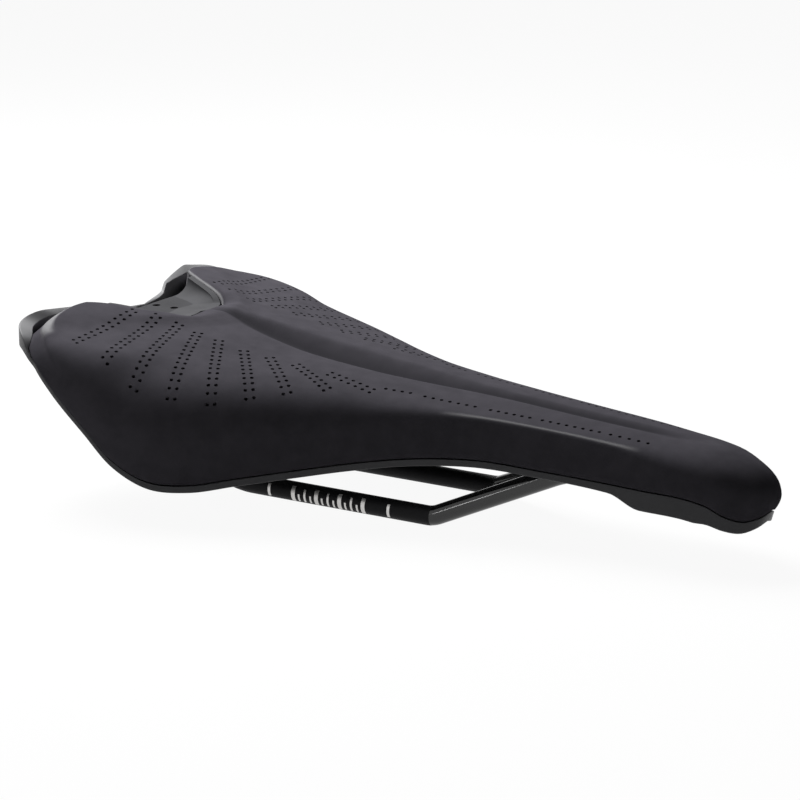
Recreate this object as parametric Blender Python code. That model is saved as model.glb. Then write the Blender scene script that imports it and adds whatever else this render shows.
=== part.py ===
"""A road bicycle saddle: cover, foam, base shell, two round rails, their sockets and fasteners.

Sizes are in millimetres and become metres as the meshes are made.
Origin: midway between the two rail axes, at the middle of the straight stretch that a seatpost
clamps. +X points to the nose, +Y to the rider's left, +Z up.
"""
import functools
import math
from collections import namedtuple

import bmesh
import bpy
import numpy as np
from mathutils import Vector
from mathutils.bvhtree import BVHTree

MM = 0.001

# Overall sizes of the padded top
SADDLE_WIDTH = 142.0
COVER_TAIL_REACH = 109.0       # from the origin back to the rear edge of the cover
COVER_NOSE_REACH = 162.6       # from the origin to the front edge of the cover

# Layers, from the outside in
CLEARANCE = 0.3                # gap between pieces that touch
COVER_THICKNESS = 1.2
FOAM_SIDE = 2.0                # foam on the skirts
SHELL_WALL = 2.2
SHELL_CHANNEL = 0.4            # share of the channel's depth that the shell follows
SEAM_GAP = 0.6                 # dark joint between the cover's hem and the shell
NOTCH_WALL = 2.4               # cover wall that closes the foam at the tail notch

# Edge of the base shell
FLANGE_THICKNESS = 1.6
STRIP_WALL = 1.8
STRIP_INSET = 0.4              # the strip sits this far inside the cover's outline
STRIP_LEAST = 0.3              # the strip hangs at least this far below the flange
LIP_WALL = 2.0                 # thickness of the upturned tail lip
LIP_DRAFT = 0.6                # the lip's inner face leans out by this much
LIP_STEEPNESS = 8.0            # how fast the lip grows once it stands clear of the cover

# Rails
RAIL_DIAMETER = 7.0
RAIL_GAUGE = 44.0              # between the two axes where the seatpost clamps
RAIL_CLAMP_FRONT = 42.0
RAIL_CLAMP_REAR = 42.0
RAIL_NOSE_COVER = 1.5          # socket between the front ends and the shell above
RAIL_NOSE_GAUGE = 13.0
RAIL_KNEE_GAUGE = 21.6         # where the slope levels out under the nose
RAIL_KNEE_BACKSET = 72.6       # from the cover's front edge back to that knee
RAIL_NOSE_BACKSET = 33.0       # from the cover's front edge back to the rail ends
RAIL_TAIL_COVER = 8.3          # socket between the tail ends and the shell above
RAIL_TAIL_GAUGE = 75.0
RAIL_TAIL_BACKSET = 19.0       # from the cover's rear edge forward to the rail ends
RAIL_REAR_BEND = 24.0
RAIL_FRONT_BEND = 10.0
RAIL_KNEE_BEND = 30.0
RAIL_SIDES = 14

# Nose socket and its clamp
NOSE_BLOCK_LENGTH = 26.0
NOSE_BLOCK_AHEAD = 7.0         # of the rail ends
NOSE_CLAMP_HEIGHT = 5.8        # below the rail axes
NOSE_SPLIT = 0.6               # joint between socket and clamp
CLAMP_SCREW_INSET = 4.5        # of the two clamp screws from the ends of the block
SOCKET_SCREW_PITCH = 5.8       # between the two screws that hold the socket to the shell

# Rear sockets
REAR_BLOCK_LENGTH = 19.0
REAR_BLOCK_BEHIND = 7.0        # of the rail ends
REAR_BLOCK_WIDTH = 21.0
REAR_BLOCK_DEPTH = 15.5        # below the rail ends
REAR_SCREW_SPREAD = 15.0
REAR_SCREW_AHEAD = 1.4         # of the rail ends
BLOCK_EDGE = 1.2               # rounding of the moulded blocks

# Tail insert with its two threaded accessory holes
INSERT_THICKNESS = 3.2         # over the shell, at the holes
INSERT_GAP = 1.4               # between the insert and the notch's curved wall
INSERT_STEPS = 12              # points along the notch's edge
ACCESSORY_HOLE = 3.0
ACCESSORY_PITCH = 8.0
ACCESSORY_INSET = 7.3          # from the insert's rear face to the middle of the two holes
ACCESSORY_PAD_WALL = 0.9       # around the thread bushes, along the saddle
ACCESSORY_PAD_WIDTH = 12.0
ACCESSORY_PAD_PROUD = 3.0      # of the shell's underside
THREAD_INSERT_DIAMETER = 4.2
THREAD_INSERT_LENGTH = 5.5
TAIL_SCREW_SPREAD = 26.0

# Screws
SCREW_DIAMETER = 3.0
SCREW_HEAD_DIAMETER = 5.6
SCREW_HEAD_HEIGHT = 1.2
SCREW_HEX = 2.0
SCREW_LENGTH = 7.0             # under the head
CLAMP_SCREW_LENGTH = 7.5
SCREW_SEAT = 0.7               # shell left under a sunk head, at most
SCREW_TIP_COVER = 1.2          # material left over the tip of a blind screw
SCREW_SIDES = 12
HOLE_SIDES = 20

# Sampling of the lofted pieces
STATION_STEP = 12.5
CORNER_START = 0.55            # stops run from 0 at the spine to 1 at the hem
CORNER_END = 0.82
STOPS = (0.0, 0.12, 0.3, CORNER_START, 0.685, CORNER_END, 0.91, 1.0)
ROUND_LIMIT = 0.8              # a rounding takes at most this share of the top or the skirt
CORNER_PULL = 0.15             # share of the lean by which the corner stays inside the skirt
CHANNEL_FLOOR = 0.18           # softness of the channel's floor and edges, in half widths
CHANNEL_EDGE = 0.12
SPINE_MISS = 1e-4              # plumb lines miss the open edge on the centre plane by this much
BOW_SCALE = 256 / 27           # makes the bow's greatest value 1, a quarter of the way out
CUTTER_REACH = 100.0           # cutters and plumb lines run this far, beyond every piece

# Cross sections of the left half, from the tail centre round the lobe and along the side to the
# nose. Each runs in plan from the spine (on the centre plane) to the hem of the cover.
# lean: how far the shoulder stands inside the hem; pad: foam on top; strip: how far the shell
# hangs below the hem; lip and rise: how far it stands out behind the hem and above it; bow: how
# far the section bows forward in plan; crest: 1 where the top levels out before the shoulder.
Station = namedtuple("Station", "spine hem_x hem_y hem_z lean shoulder round_top round_side bulge "
                                "pad strip lip rise bow crest", defaults=(0.0, 0.0, 0.0, 0.0))
NOTCH_STATIONS = [
    Station(-74.5, -96.0, 0.0, 46.0, 4.0, 60.0, 3.0, 4.0, 0.0, 6.0, 3.0, 2.0, 8.4, 0.0, 0.0),
    Station(-73.2, -99.5, 16.0, 47.0, 5.0, 60.6, 2.0, 3.0, 0.0, 6.0, 3.0, 4.4, 8.0, 4.0, 0.5),
    Station(-72.9, -100.8, 20.0, 47.4, 5.2, 60.8, 2.0, 3.0, 0.0, 6.0, 3.0, 5.2, 10.3, 4.8, 0.6),
]
SIDE_STATIONS = [
    Station(-71.5, -106.2, 37.0, 48.8, 10.5, 60.8, 1.8, 2.4, 0.0, 6.5, 2.6, 7.0, 10.2, 9.0, 1.0),
    Station(-64.0, -109.0, 48.1, 50.0, 11.0, 59.8, 1.8, 2.0, 0.0, 6.0, 2.6, 5.9, 7.6, 7.0, 0.9),
    Station(-56.0, -105.6, 57.9, 51.3, 9.0, 57.8, 1.6, 2.0, 0.0, 4.0, 2.6, 3.9, 4.7, 4.6, 0.7),
    Station(-53.0, -102.9, 61.4, 50.6, 8.0, 56.5, 1.7, 2.0, 0.0, 3.4, 2.7, 2.7, 0.0, 3.4, 0.5),
    Station(-51.0, -100.6, 64.0, 48.8, 7.4, 55.6, 1.9, 2.0, 0.0, 3.6, 2.8, 0.5, 0.0, 2.4, 0.4),
    Station(-48.5, -96.3, 66.9, 45.6, 6.8, 54.6, 3.0, 3.0, 0.3, 4.6, 3.0, 0.0, 0.0, 1.2, 0.2),
    Station(-45.0, -88.4, 69.3, 39.2, 4.4, 53.4, 7.0, 6.0, 0.6, 6.0, 3.0),
    Station(-37.0, -72.7, 71.0, 26.7, 3.0, 51.0, 18.0, 14.0, 1.5, 7.2, 3.0),
    Station(-28.0, -60.0, 71.0, 16.1, 3.0, 47.4, 26.0, 20.0, 2.0, 8.0, 3.0),
    Station(-19.0, -46.0, 69.1, 10.2, 3.2, 45.0, 28.0, 22.0, 2.0, 8.0, 3.0),
    Station(-9.0, -33.0, 64.8, 10.0, 3.4, 43.4, 27.0, 22.0, 1.8, 8.0, 3.0),
    Station(2.0, -18.0, 57.0, 12.8, 3.4, 42.0, 24.0, 19.0, 1.4, 7.6, 3.0),
    Station(14.0, 0.0, 46.3, 16.0, 3.4, 40.8, 18.0, 15.0, 1.0, 7.0, 3.0),
    Station(28.0, 17.0, 37.3, 19.0, 3.4, 39.8, 11.0, 10.0, 0.7, 6.4, 3.0),
    Station(44.0, 35.0, 31.2, 21.9, 3.6, 39.0, 5.0, 5.0, 0.5, 5.6, 3.0),
    Station(66.0, 59.0, 25.4, 23.8, 3.8, 38.2, 2.0, 2.0, 0.5, 5.0, 3.0),
    Station(92.0, 87.0, 21.9, 22.8, 3.5, 36.6, 1.6, 1.6, 0.5, 4.5, 3.0),
    Station(112.5, 109.0, 20.3, 21.9, 3.2, 35.0, 2.0, 2.0, 0.6, 4.5, 3.6),
    Station(121.0, 120.8, 19.7, 21.3, 3.1, 33.9, 3.6, 3.6, 0.7, 4.5, 7.5),
    Station(130.0, 140.0, 18.0, 20.0, 3.0, 31.8, 7.0, 6.0, 0.8, 4.5, 7.6),
    Station(131.8, 145.0, 17.0, 18.7, 3.1, 31.1, 8.4, 6.9, 1.0, 4.5, 6.6),
    Station(133.5, 150.6, 15.0, 15.6, 3.2, 30.2, 10.0, 8.0, 1.2, 4.5, 5.4),
    Station(135.0, 157.2, 10.3, 14.4, 3.6, 29.0, 12.0, 8.0, 1.6, 4.5, 4.2),
    Station(135.8, 161.2, 5.4, 16.0, 3.6, 28.8, 12.5, 8.0, 1.8, 4.5, 3.4),
    Station(136.4, 162.6, 0.0, 17.2, 3.6, 28.8, 12.5, 8.0, 1.8, 4.5, 3.2),
]
STATIONS = NOTCH_STATIONS + SIDE_STATIONS      # the notch's edge runs along the first side station

# Height of the crown along the spine
CROWN = [(-74.5, 54.4), (-71.5, 54.9), (-66.0, 56.6), (-60.0, 56.6), (-54.0, 55.4), (-42.0, 53.2),
         (-30.0, 50.9), (-18.0, 48.7), (8.0, 45.8), (29.0, 43.8), (50.0, 41.9), (70.0, 40.4),
         (93.0, 38.7), (116.0, 37.0), (136.4, 35.6)]

# Central channel: place along X, half width, depth
CHANNEL = [(-66.0, 2.0, 0.6), (-55.0, 4.2, 2.4), (-50.0, 5.9, 3.5), (-40.0, 8.0, 4.9),
           (-30.0, 9.0, 5.6), (-10.0, 9.8, 6.1), (10.0, 9.4, 5.8), (20.0, 8.5, 5.1),
           (30.0, 7.5, 4.2), (40.0, 6.2, 3.1), (50.0, 5.0, 2.3), (65.0, 4.3, 1.9),
           (90.0, 4.3, 1.8), (115.0, 4.2, 1.3), (138.0, 4.0, 0.0), (170.0, 4.0, 0.0)]


def smooth_through(knots, values, at, flat_end=False, monotone=True):
    """A cubic through the knots, that doesn't overshoot where monotone is set."""
    knots, values = np.asarray(knots, float), np.asarray(values, float)
    gap = np.diff(knots)
    rate = np.diff(values) / gap
    if monotone:
        slope = np.zeros(len(knots))
        slope[0], slope[-1] = rate[0], rate[-1]
        for i in range(1, len(knots) - 1):
            if rate[i - 1] * rate[i] > 0:
                left, right = 2 * gap[i] + gap[i - 1], gap[i] + 2 * gap[i - 1]
                slope[i] = (left + right) / (left / rate[i - 1] + right / rate[i])
    else:
        slope = np.gradient(values, knots)
    if flat_end:
        slope[-1] = 0.0
    i = int(np.clip(np.searchsorted(knots, at) - 1, 0, len(knots) - 2))
    s = min(max((at - knots[i]) / gap[i], 0.0), 1.0)
    return (values[i] * (1 + 2 * s) * (1 - s) ** 2 + gap[i] * slope[i] * s * (1 - s) ** 2
            + values[i + 1] * s * s * (3 - 2 * s) - gap[i] * slope[i + 1] * s * s * (1 - s))


def scaled_stations():
    """The table above, stretched to the driving length and width."""
    tail = COVER_TAIL_REACH / -min(row.hem_x for row in STATIONS)
    nose = COVER_NOSE_REACH / max(row.hem_x for row in STATIONS)
    wide = SADDLE_WIDTH / 2 / max(row.hem_y for row in STATIONS)
    rows = []
    for row in STATIONS:
        stretch_spine = tail if row.spine < 0 else nose
        stretch_hem = tail if row.hem_x < 0 else nose
        rows.append(row._replace(spine=row.spine * stretch_spine, hem_x=row.hem_x * stretch_hem,
                                 hem_y=row.hem_y * wide))
    return rows, tail, nose


ROWS, TAIL_STRETCH, NOSE_STRETCH = scaled_stations()
STEPS = [math.dist((a.hem_x, a.hem_y, a.hem_z), (b.hem_x, b.hem_y, b.hem_z))
         for a, b in zip(ROWS, ROWS[1:])]
PLACES = np.concatenate([[0.0], np.cumsum(STEPS)])       # of the rows, along the hem
NOTCH_PLACE = PLACES[len(NOTCH_STATIONS)]
WALL_END = NOTCH_PLACE + NOTCH_WALL
SKIN_START = WALL_END + CLEARANCE
FOAM_START = SKIN_START + CLEARANCE
NOSE_PLACE = PLACES[-1]
BREAKS = sorted([*PLACES, WALL_END, SKIN_START, FOAM_START])
HEM_FIELDS = ("hem_x", "hem_y", "hem_z")


def table_x(x):
    """A place along X as the tables above give it."""
    return x / (TAIL_STRETCH if x < 0 else NOSE_STRETCH)


def station_at(place):
    """The cross section's values at a place along the hem."""
    values = {}
    for field in Station._fields:
        column = [getattr(row, field) for row in ROWS]
        hem = field in HEM_FIELDS
        values[field] = smooth_through(PLACES, column, place, monotone=not hem,
                                       flat_end=field in ("hem_x", "hem_z"))
    if place == PLACES[0] or place == PLACES[-1]:
        values["hem_y"] = 0.0
    return Station(**values)


def curve_value(points, column, x):
    return smooth_through([p[0] for p in points], [p[column] for p in points], table_x(x))


# A layer is the skin moved inwards: by top plus pads times the foam on top, and by side on the
# skirts. It ends foot below the hem, and its channel is the skin's times channel. A slipped layer
# is another one moved in by a clearance, with its edge sunk further below the hem.
Layer = namedtuple("Layer", "top pads side foot channel slip sink", defaults=(0.0, 0.0))
SKIN = Layer(0.0, 0.0, 0.0, 0.0, 1.0)
COVER_INSIDE = Layer(COVER_THICKNESS, 0.0, COVER_THICKNESS, 0.0, 1.0)
FOAM_OUTSIDE = COVER_INSIDE._replace(slip=CLEARANCE)
FOAM_INSIDE = Layer(COVER_THICKNESS + CLEARANCE, 1.0, COVER_THICKNESS + CLEARANCE + FOAM_SIDE,
                    0.0, SHELL_CHANNEL)
SHELL_OUTSIDE = FOAM_INSIDE._replace(slip=CLEARANCE, sink=SEAM_GAP)
SHELL_INSIDE = Layer(FOAM_INSIDE.top + CLEARANCE + SHELL_WALL, 1.0,
                     FOAM_INSIDE.side + CLEARANCE + SHELL_WALL,
                     SEAM_GAP + FLANGE_THICKNESS, SHELL_CHANNEL)
UNDER_SHELL = SHELL_INSIDE._replace(slip=CLEARANCE)


class Section:
    """One cross section of a layer, in its own vertical plane."""

    def __init__(self, place, layer):
        row = station_at(place)
        self.row = row
        self.reach = math.hypot(row.hem_x - row.spine, row.hem_y)
        self.ahead = ((row.hem_x - row.spine) / self.reach, row.hem_y / self.reach)
        self.drop = layer.top + layer.pads * row.pad
        self.slip = layer.slip
        self.channel = layer.channel
        self.edge = self.reach - layer.side
        self.corner = self.edge - row.lean
        self.crown = curve_value(CROWN, 1, row.spine) - self.drop
        self.shoulder = row.shoulder - self.drop
        self.height = self.shoulder - row.hem_z + layer.foot
        self.bulge = row.bulge * self.height / (row.shoulder - row.hem_z)
        self.foot = row.hem_z - layer.foot - layer.sink

    def top(self, out):
        """Height and slope of the top, at a distance from the spine."""
        share = out / self.corner
        crest = self.row.crest
        fallen = share * share * (1 + 2 * crest * (1 - share))
        slope = (2 * share + crest * share * (4 - 6 * share)) / self.corner
        drop = self.crown - self.shoulder
        return self.crown - drop * fallen, -drop * slope

    def side(self, share):
        swell = 4 * self.bulge * share * (1 - share)
        out = self.corner + (self.edge - self.corner) * share + swell
        return out, self.shoulder - self.height * share

    def at(self, stop):
        """Distance from the spine and height, at a stop from 0 (spine) to 1 (hem)."""
        out_a = self.corner - min(self.row.round_top, ROUND_LIMIT * self.corner)
        z_a, fall = self.top(out_a)
        share_b = min(self.row.round_side / self.height, ROUND_LIMIT)
        out_b, z_b = self.side(share_b)
        if stop <= CORNER_START:
            out = out_a * stop / CORNER_START
            z = self.top(out)[0]
        elif stop <= CORNER_END:
            k = (stop - CORNER_START) / (CORNER_END - CORNER_START)
            out_c = max(out_b - CORNER_PULL * self.row.lean, 0.5 * (out_a + self.corner))
            z_c = z_a + fall * (out_c - out_a)
            out = (1 - k) ** 2 * out_a + 2 * k * (1 - k) * out_c + k * k * out_b
            z = (1 - k) ** 2 * z_a + 2 * k * (1 - k) * z_c + k * k * z_b
        else:
            k = (stop - CORNER_END) / (1 - CORNER_END)
            out, z = self.side(share_b + (1 - share_b) * k)
        if stop < CORNER_END:
            z -= self.channel * channel_depth(*self.plan(out))
        out -= self.slip * min(stop / CORNER_START, 1.0)
        return out, self.foot if stop == 1.0 else z - self.slip

    def plan(self, out):
        share = min(out / self.reach, 1.0)
        bow = BOW_SCALE * self.row.bow * share * (1 - share) ** 3
        return (self.row.spine + self.ahead[0] * out + self.ahead[1] * bow,
                self.ahead[1] * out - self.ahead[0] * bow)

    def point(self, out, z):
        x, y = self.plan(out)
        return Vector((x, y, z)) * MM

    def skin_points(self):
        return [self.point(*self.at(stop)) for stop in STOPS]


def channel_depth(x, y):
    """Depth of the central channel: straight walls with a soft floor and soft edges."""
    half = curve_value(CHANNEL, 1, x)
    depth = curve_value(CHANNEL, 2, x)
    across = math.hypot(y / half, CHANNEL_FLOOR)
    rise = 1.0 - across
    return depth * 0.5 * (rise + math.hypot(rise, CHANNEL_EDGE))


def places_between(first, last):
    """Places of the lofted sections between two of the breaks, the same for every layer."""
    stops = [first]
    for a, b in zip(BREAKS, BREAKS[1:]):
        if a < first or b > last:
            continue
        count = max(1, math.ceil((b - a) / STATION_STEP))
        stops += [a + (b - a) * (i + 1) / count for i in range(count)]
    return stops


def material(name, colour, roughness, metallic=0.0):
    made = bpy.data.materials.new(name)
    made.use_nodes = True
    shader = made.node_tree.nodes["Principled BSDF"]
    shader.inputs["Base Color"].default_value = (*colour, 1.0)
    shader.inputs["Roughness"].default_value = roughness
    shader.inputs["Metallic"].default_value = metallic
    return made


def add_object(name, mesh, finish=None, at=(0.0, 0.0, 0.0)):
    made = bpy.data.objects.new(name, mesh)
    made.location = Vector(at) * MM
    bpy.context.scene.collection.objects.link(made)
    made.parent = ASSEMBLY
    if finish is None:
        made.hide_render = True
        made.display_type = "WIRE"
    else:
        mesh.materials.append(finish)
    return made


def mesh_from(name, points, faces, smooth_angle=None):
    """A mesh of the points and faces, turned so that its faces look out."""
    volume = 0.0
    for face in faces:
        for i in range(1, len(face) - 1):
            a, b, c = points[face[0]], points[face[i]], points[face[i + 1]]
            volume += a.dot(b.cross(c))
    if volume < 0:
        faces = [face[::-1] for face in faces]
    mesh = bpy.data.meshes.new(name)
    mesh.from_pydata([tuple(p) for p in points], [], faces)
    mesh.update()
    if smooth_angle is not None:
        mesh.shade_smooth()
        mesh.set_sharp_from_angle(angle=math.radians(smooth_angle))
    return mesh


def loft(name, sections, finish, cap_first=False):
    """A solid lofted through half sections that start and end on the centre plane, and mirrored.

    Outer sides run out along the stops and inner sides run back, so their diagonals are turned to
    match. Two layers then keep their gap between the sections too. The last section lies on the
    centre plane, and the diagonals beside it are turned so that no triangle does.
    """
    count = len(sections[0])
    points = [p for section in sections for p in section]
    faces = []
    for i in range(len(sections) - 1):
        for k in range(count - 1):
            a, b = i * count + k, (i + 1) * count + k
            if (k < len(STOPS)) != (i == len(sections) - 2):
                faces += [(a, a + 1, b + 1), (a, b + 1, b)]
            else:
                faces += [(a, a + 1, b), (a + 1, b + 1, b)]
    if cap_first:
        for k in range(count // 2 - 1):
            faces.append((k + 1, k, count - 1 - k, count - 2 - k))
    made = add_object(name, mesh_from(name, points, faces, smooth_angle=35), finish)
    mirror = made.modifiers.new("halves", "MIRROR")
    mirror.use_axis = (False, True, False)
    mirror.merge_threshold = 1e-6
    return made


def cut(target, cutter, operation="DIFFERENCE"):
    step = target.modifiers.new(f"{operation.lower()} {cutter.name}", "BOOLEAN")
    step.operation = operation
    step.solver = "EXACT"
    step.object = cutter


def box_mesh(name, low, high, edge=0.0):
    """A box between two corners, with its edges chamfered."""
    shape = bmesh.new()
    bmesh.ops.create_cube(shape, size=1.0)
    for vertex in shape.verts:
        vertex.co = Vector([(a + b) / 2 + c * (b - a) for a, b, c in zip(low, high, vertex.co)]) * MM
    if edge:
        bmesh.ops.bevel(shape, geom=shape.edges[:], offset=edge * MM, segments=2, profile=0.5,
                        affect="EDGES")
    mesh = bpy.data.meshes.new(name)
    shape.to_mesh(mesh)
    shape.free()
    return mesh


def turned_mesh(name, rings, sides, phase=0.0):
    """A solid of revolution about Z through (height, radius, corners) rings, bottom to top.

    A ring with corners is a regular polygon, measured across its flats. phase turns the facets.
    """
    points, faces = [], []
    for height, radius, corners in rings:
        for i in range(sides):
            angle = 2 * math.pi * (i + phase) / sides
            reach = radius
            if corners:
                wedge = 2 * math.pi / corners
                reach = radius / math.cos((angle % wedge) - wedge / 2)
            points.append(Vector((reach * math.cos(angle), reach * math.sin(angle), height)) * MM)
    for i in range(len(rings) - 1):
        for k in range(sides):
            j = (k + 1) % sides
            a, b = i * sides, (i + 1) * sides
            faces.append((a + k, a + j, b + j, b + k))
    faces.append(tuple(range(sides))[::-1])
    faces.append(tuple(range((len(rings) - 1) * sides, len(rings) * sides)))
    return mesh_from(name, points, faces, smooth_angle=40)


def filleted_path(corners, radii, step_angle=8.0):
    """A path through the corners with each inner corner rounded by an arc."""
    corners = [Vector(c) for c in corners]
    path = [corners[0]]
    for before, corner, after, radius in zip(corners, corners[1:], corners[2:], radii):
        back, ahead = (before - corner).normalized(), (after - corner).normalized()
        turn = math.pi - back.angle(ahead)
        trim = radius * math.tan(turn / 2)
        middle = corner + (back + ahead).normalized() * radius / math.cos(turn / 2)
        start, end = corner + back * trim - middle, corner + ahead * trim - middle
        count = max(2, math.ceil(math.degrees(turn) / step_angle))
        axis = start.cross(end).normalized()
        for i in range(count + 1):
            angle = turn * i / count
            path.append(middle + start * math.cos(angle) + axis.cross(start) * math.sin(angle))
    path.append(corners[-1])
    return path


def tube_mesh(name, path, radius, sides):
    """A round rod along the path, with flat ends."""
    points, faces = [], []
    across = Vector((0.0, 0.0, 1.0))
    for i, middle in enumerate(path):
        ahead = (path[min(i + 1, len(path) - 1)] - path[max(i - 1, 0)]).normalized()
        across = (across - ahead * across.dot(ahead)).normalized()
        other = ahead.cross(across)
        for k in range(sides):
            angle = 2 * math.pi * k / sides
            points.append((middle + (across * math.cos(angle) + other * math.sin(angle)) * radius) * MM)
    for i in range(len(path) - 1):
        for k in range(sides):
            j = (k + 1) % sides
            a, b = i * sides, (i + 1) * sides
            faces.append((a + k, a + j, b + j, b + k))
    faces.append(tuple(range(sides))[::-1])
    faces.append(tuple(range((len(path) - 1) * sides, len(path) * sides)))
    return mesh_from(name, points, faces, smooth_angle=50)


@functools.lru_cache(maxsize=None)
def layer_surface(layer):
    """The left half of a layer, for measuring its height."""
    sections = [Section(place, layer).skin_points() for place in places_between(0.0, NOSE_PLACE)]
    count = len(STOPS)
    faces = [(i * count + k, i * count + k + 1, (i + 1) * count + k + 1, (i + 1) * count + k)
             for i in range(len(sections) - 1) for k in range(count - 1)]
    return BVHTree.FromPolygons([p for section in sections for p in section], faces)


def layer_height(layer, x, y):
    """Height of a layer straight above a point."""
    above = Vector((x, abs(y) + SPINE_MISS, CUTTER_REACH)) * MM
    return layer_surface(layer).ray_cast(above, Vector((0.0, 0.0, -1.0)))[0].z / MM


def make_cover():
    """The moulded skin. Its first two sections reach down to the shell and close the notch."""
    sections = []
    deep = [NOTCH_PLACE, WALL_END]
    for place in deep + places_between(SKIN_START, NOSE_PLACE):
        outer = Section(place, SKIN).skin_points()
        inner = Section(place, FOAM_INSIDE if place in deep else COVER_INSIDE).skin_points()
        sections.append(outer + inner[::-1])
    return loft("cover", sections, COVER_FINISH, cap_first=True)


def make_foam():
    """The padding between cover and shell, behind the wall that closes the notch."""
    sections = []
    for place in places_between(FOAM_START, NOSE_PLACE):
        outer = Section(place, FOAM_OUTSIDE).skin_points()
        inner = Section(place, FOAM_INSIDE).skin_points()
        sections.append(outer + inner[::-1])
    return loft("foam_padding", sections, FOAM_FINISH, cap_first=True)


def lip_faces(section):
    """Distances from the spine to the lip's inner face, at its foot, and to its outer face."""
    outer = section.reach - STRIP_INSET + section.row.lip
    return outer - LIP_WALL, outer


def shell_section(place):
    """Top side, flange with lip and strip, then the under side back to the spine."""
    outside, inside = Section(place, SHELL_OUTSIDE), Section(place, SHELL_INSIDE)
    row = outside.row
    seat, under = outside.foot, inside.foot
    lip_foot, outer = lip_faces(outside)
    lip_top = seat + row.rise
    if place >= NOTCH_PLACE:
        clear = max(0.0, lip_foot - outside.reach - CLEARANCE)
        lip_top = min(lip_top, seat + LIP_STEEPNESS * clear)
    foot = min(row.hem_z - row.strip, under - STRIP_LEAST)
    points = outside.skin_points()
    points.append(outside.point(lip_foot, seat))
    points.append(outside.point(lip_foot + LIP_DRAFT, lip_top))
    points.append(outside.point(outer, lip_top))
    points.append(outside.point(outer, foot))
    points.append(outside.point(outer - STRIP_WALL, foot))
    points.append(outside.point(outer - STRIP_WALL, under))
    return points + inside.skin_points()[::-1]


def make_shell():
    sections = [shell_section(place) for place in places_between(0.0, NOSE_PLACE)]
    return loft("base_shell", sections, SHELL_FINISH)


def volume_under(name, layer, beyond):
    """Everything below a layer, and below its hem for some way beyond it, as a cutter."""
    sections = []
    for place in places_between(0.0, NOSE_PLACE):
        section = Section(place, layer)
        points = section.skin_points()
        edge = section.edge - section.slip + beyond
        if beyond:
            points.append(section.point(edge, section.foot))
        points.append(section.point(edge, -CUTTER_REACH))
        points.append(section.point(0.0, -CUTTER_REACH))
        sections.append(points)
    return loft(name, sections, None)


def rail_end(x, y, cover):
    """A rail's end, with its socket's cover between it and the shell."""
    return Vector((x, y, layer_height(SHELL_INSIDE, x, y) - cover - RAIL_DIAMETER / 2))


def rail_tail(side):
    return rail_end(RAIL_TAIL_BACKSET - COVER_TAIL_REACH, side * RAIL_TAIL_GAUGE / 2, RAIL_TAIL_COVER)


def rail_nose(side):
    return rail_end(COVER_NOSE_REACH - RAIL_NOSE_BACKSET, side * RAIL_NOSE_GAUGE / 2, RAIL_NOSE_COVER)


def rail_path(side, lengthen=0.0):
    """Axis of one rail from its tail end to its nose end; side is 1 (left) or -1 (right)."""
    tail, nose = rail_tail(side), rail_nose(side)
    rear = Vector((-RAIL_CLAMP_REAR, side * RAIL_GAUGE / 2, 0.0))
    front = Vector((RAIL_CLAMP_FRONT, side * RAIL_GAUGE / 2, 0.0))
    knee = Vector((COVER_NOSE_REACH - RAIL_KNEE_BACKSET, side * RAIL_KNEE_GAUGE / 2, nose.z))
    tail += (tail - rear).normalized() * lengthen
    nose += (nose - knee).normalized() * lengthen
    return filleted_path([tail, rear, front, knee, nose],
                         [RAIL_REAR_BEND, RAIL_FRONT_BEND, RAIL_KNEE_BEND])


def make_rail(name, side):
    mesh = tube_mesh(name, rail_path(side), RAIL_DIAMETER / 2, RAIL_SIDES)
    rail = add_object(name, mesh, RAIL_FINISH)
    bore = tube_mesh(f"{name}_bore", rail_path(side, CLEARANCE), RAIL_DIAMETER / 2 + CLEARANCE, RAIL_SIDES)
    return rail, add_object(f"{name}_bore", bore)


def screw_mesh(name, length):
    """A socket head screw, its shank down along Z from the underside of the head at 0."""
    shank, head = SCREW_DIAMETER / 2, SCREW_HEAD_DIAMETER / 2
    chamfer = 0.2 * SCREW_DIAMETER
    floor = 0.35 * SCREW_HEAD_HEIGHT
    rings = [(-length, shank - chamfer, 0), (chamfer - length, shank, 0), (0.0, shank, 0),
             (0.0, head, 0), (0.8 * SCREW_HEAD_HEIGHT, head, 0),
             (SCREW_HEAD_HEIGHT, head - 0.2 * SCREW_HEAD_HEIGHT, 0),
             (SCREW_HEAD_HEIGHT, SCREW_HEX / 2, 6), (floor, SCREW_HEX / 2, 6)]
    return turned_mesh(name, rings, SCREW_SIDES)


def screw_hole(name, at, length, turn):
    """A clearance hole for a screw and its head, open above the head."""
    hole = SCREW_DIAMETER / 2 + CLEARANCE
    head = SCREW_HEAD_DIAMETER / 2 + CLEARANCE
    rings = [(-length - CLEARANCE, hole, 0), (-CLEARANCE, hole, 0), (-CLEARANCE, head, 0),
             (CUTTER_REACH, head, 0)]
    made = add_object(name, turned_mesh(name, rings, HOLE_SIDES, phase=0.5), at=at)
    made.rotation_euler.x = turn
    return made


def make_screw(name, at, length, turn, through):
    """A screw with its head's underside at a point, and its hole cut through the pieces given."""
    made = add_object(name, screw_mesh(name, length), SCREW_FINISH, at)
    made.rotation_euler.x = turn
    hole = screw_hole(f"{name}_hole", at, length, turn)
    for piece in through:
        cut(piece, hole)


def sunk_seat(x, y):
    """Height under the head of a screw from above, with the whole head sunk in the shell."""
    rim = SCREW_HEAD_DIAMETER / 2 + CLEARANCE
    around = [(x + rim, y), (x - rim, y), (x, y + rim), (x, y - rim)]
    lowest = min(layer_height(SHELL_OUTSIDE, *spot) for spot in around)
    return min(layer_height(SHELL_INSIDE, x, y) + SCREW_SEAT, lowest - SCREW_HEAD_HEIGHT)


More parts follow.
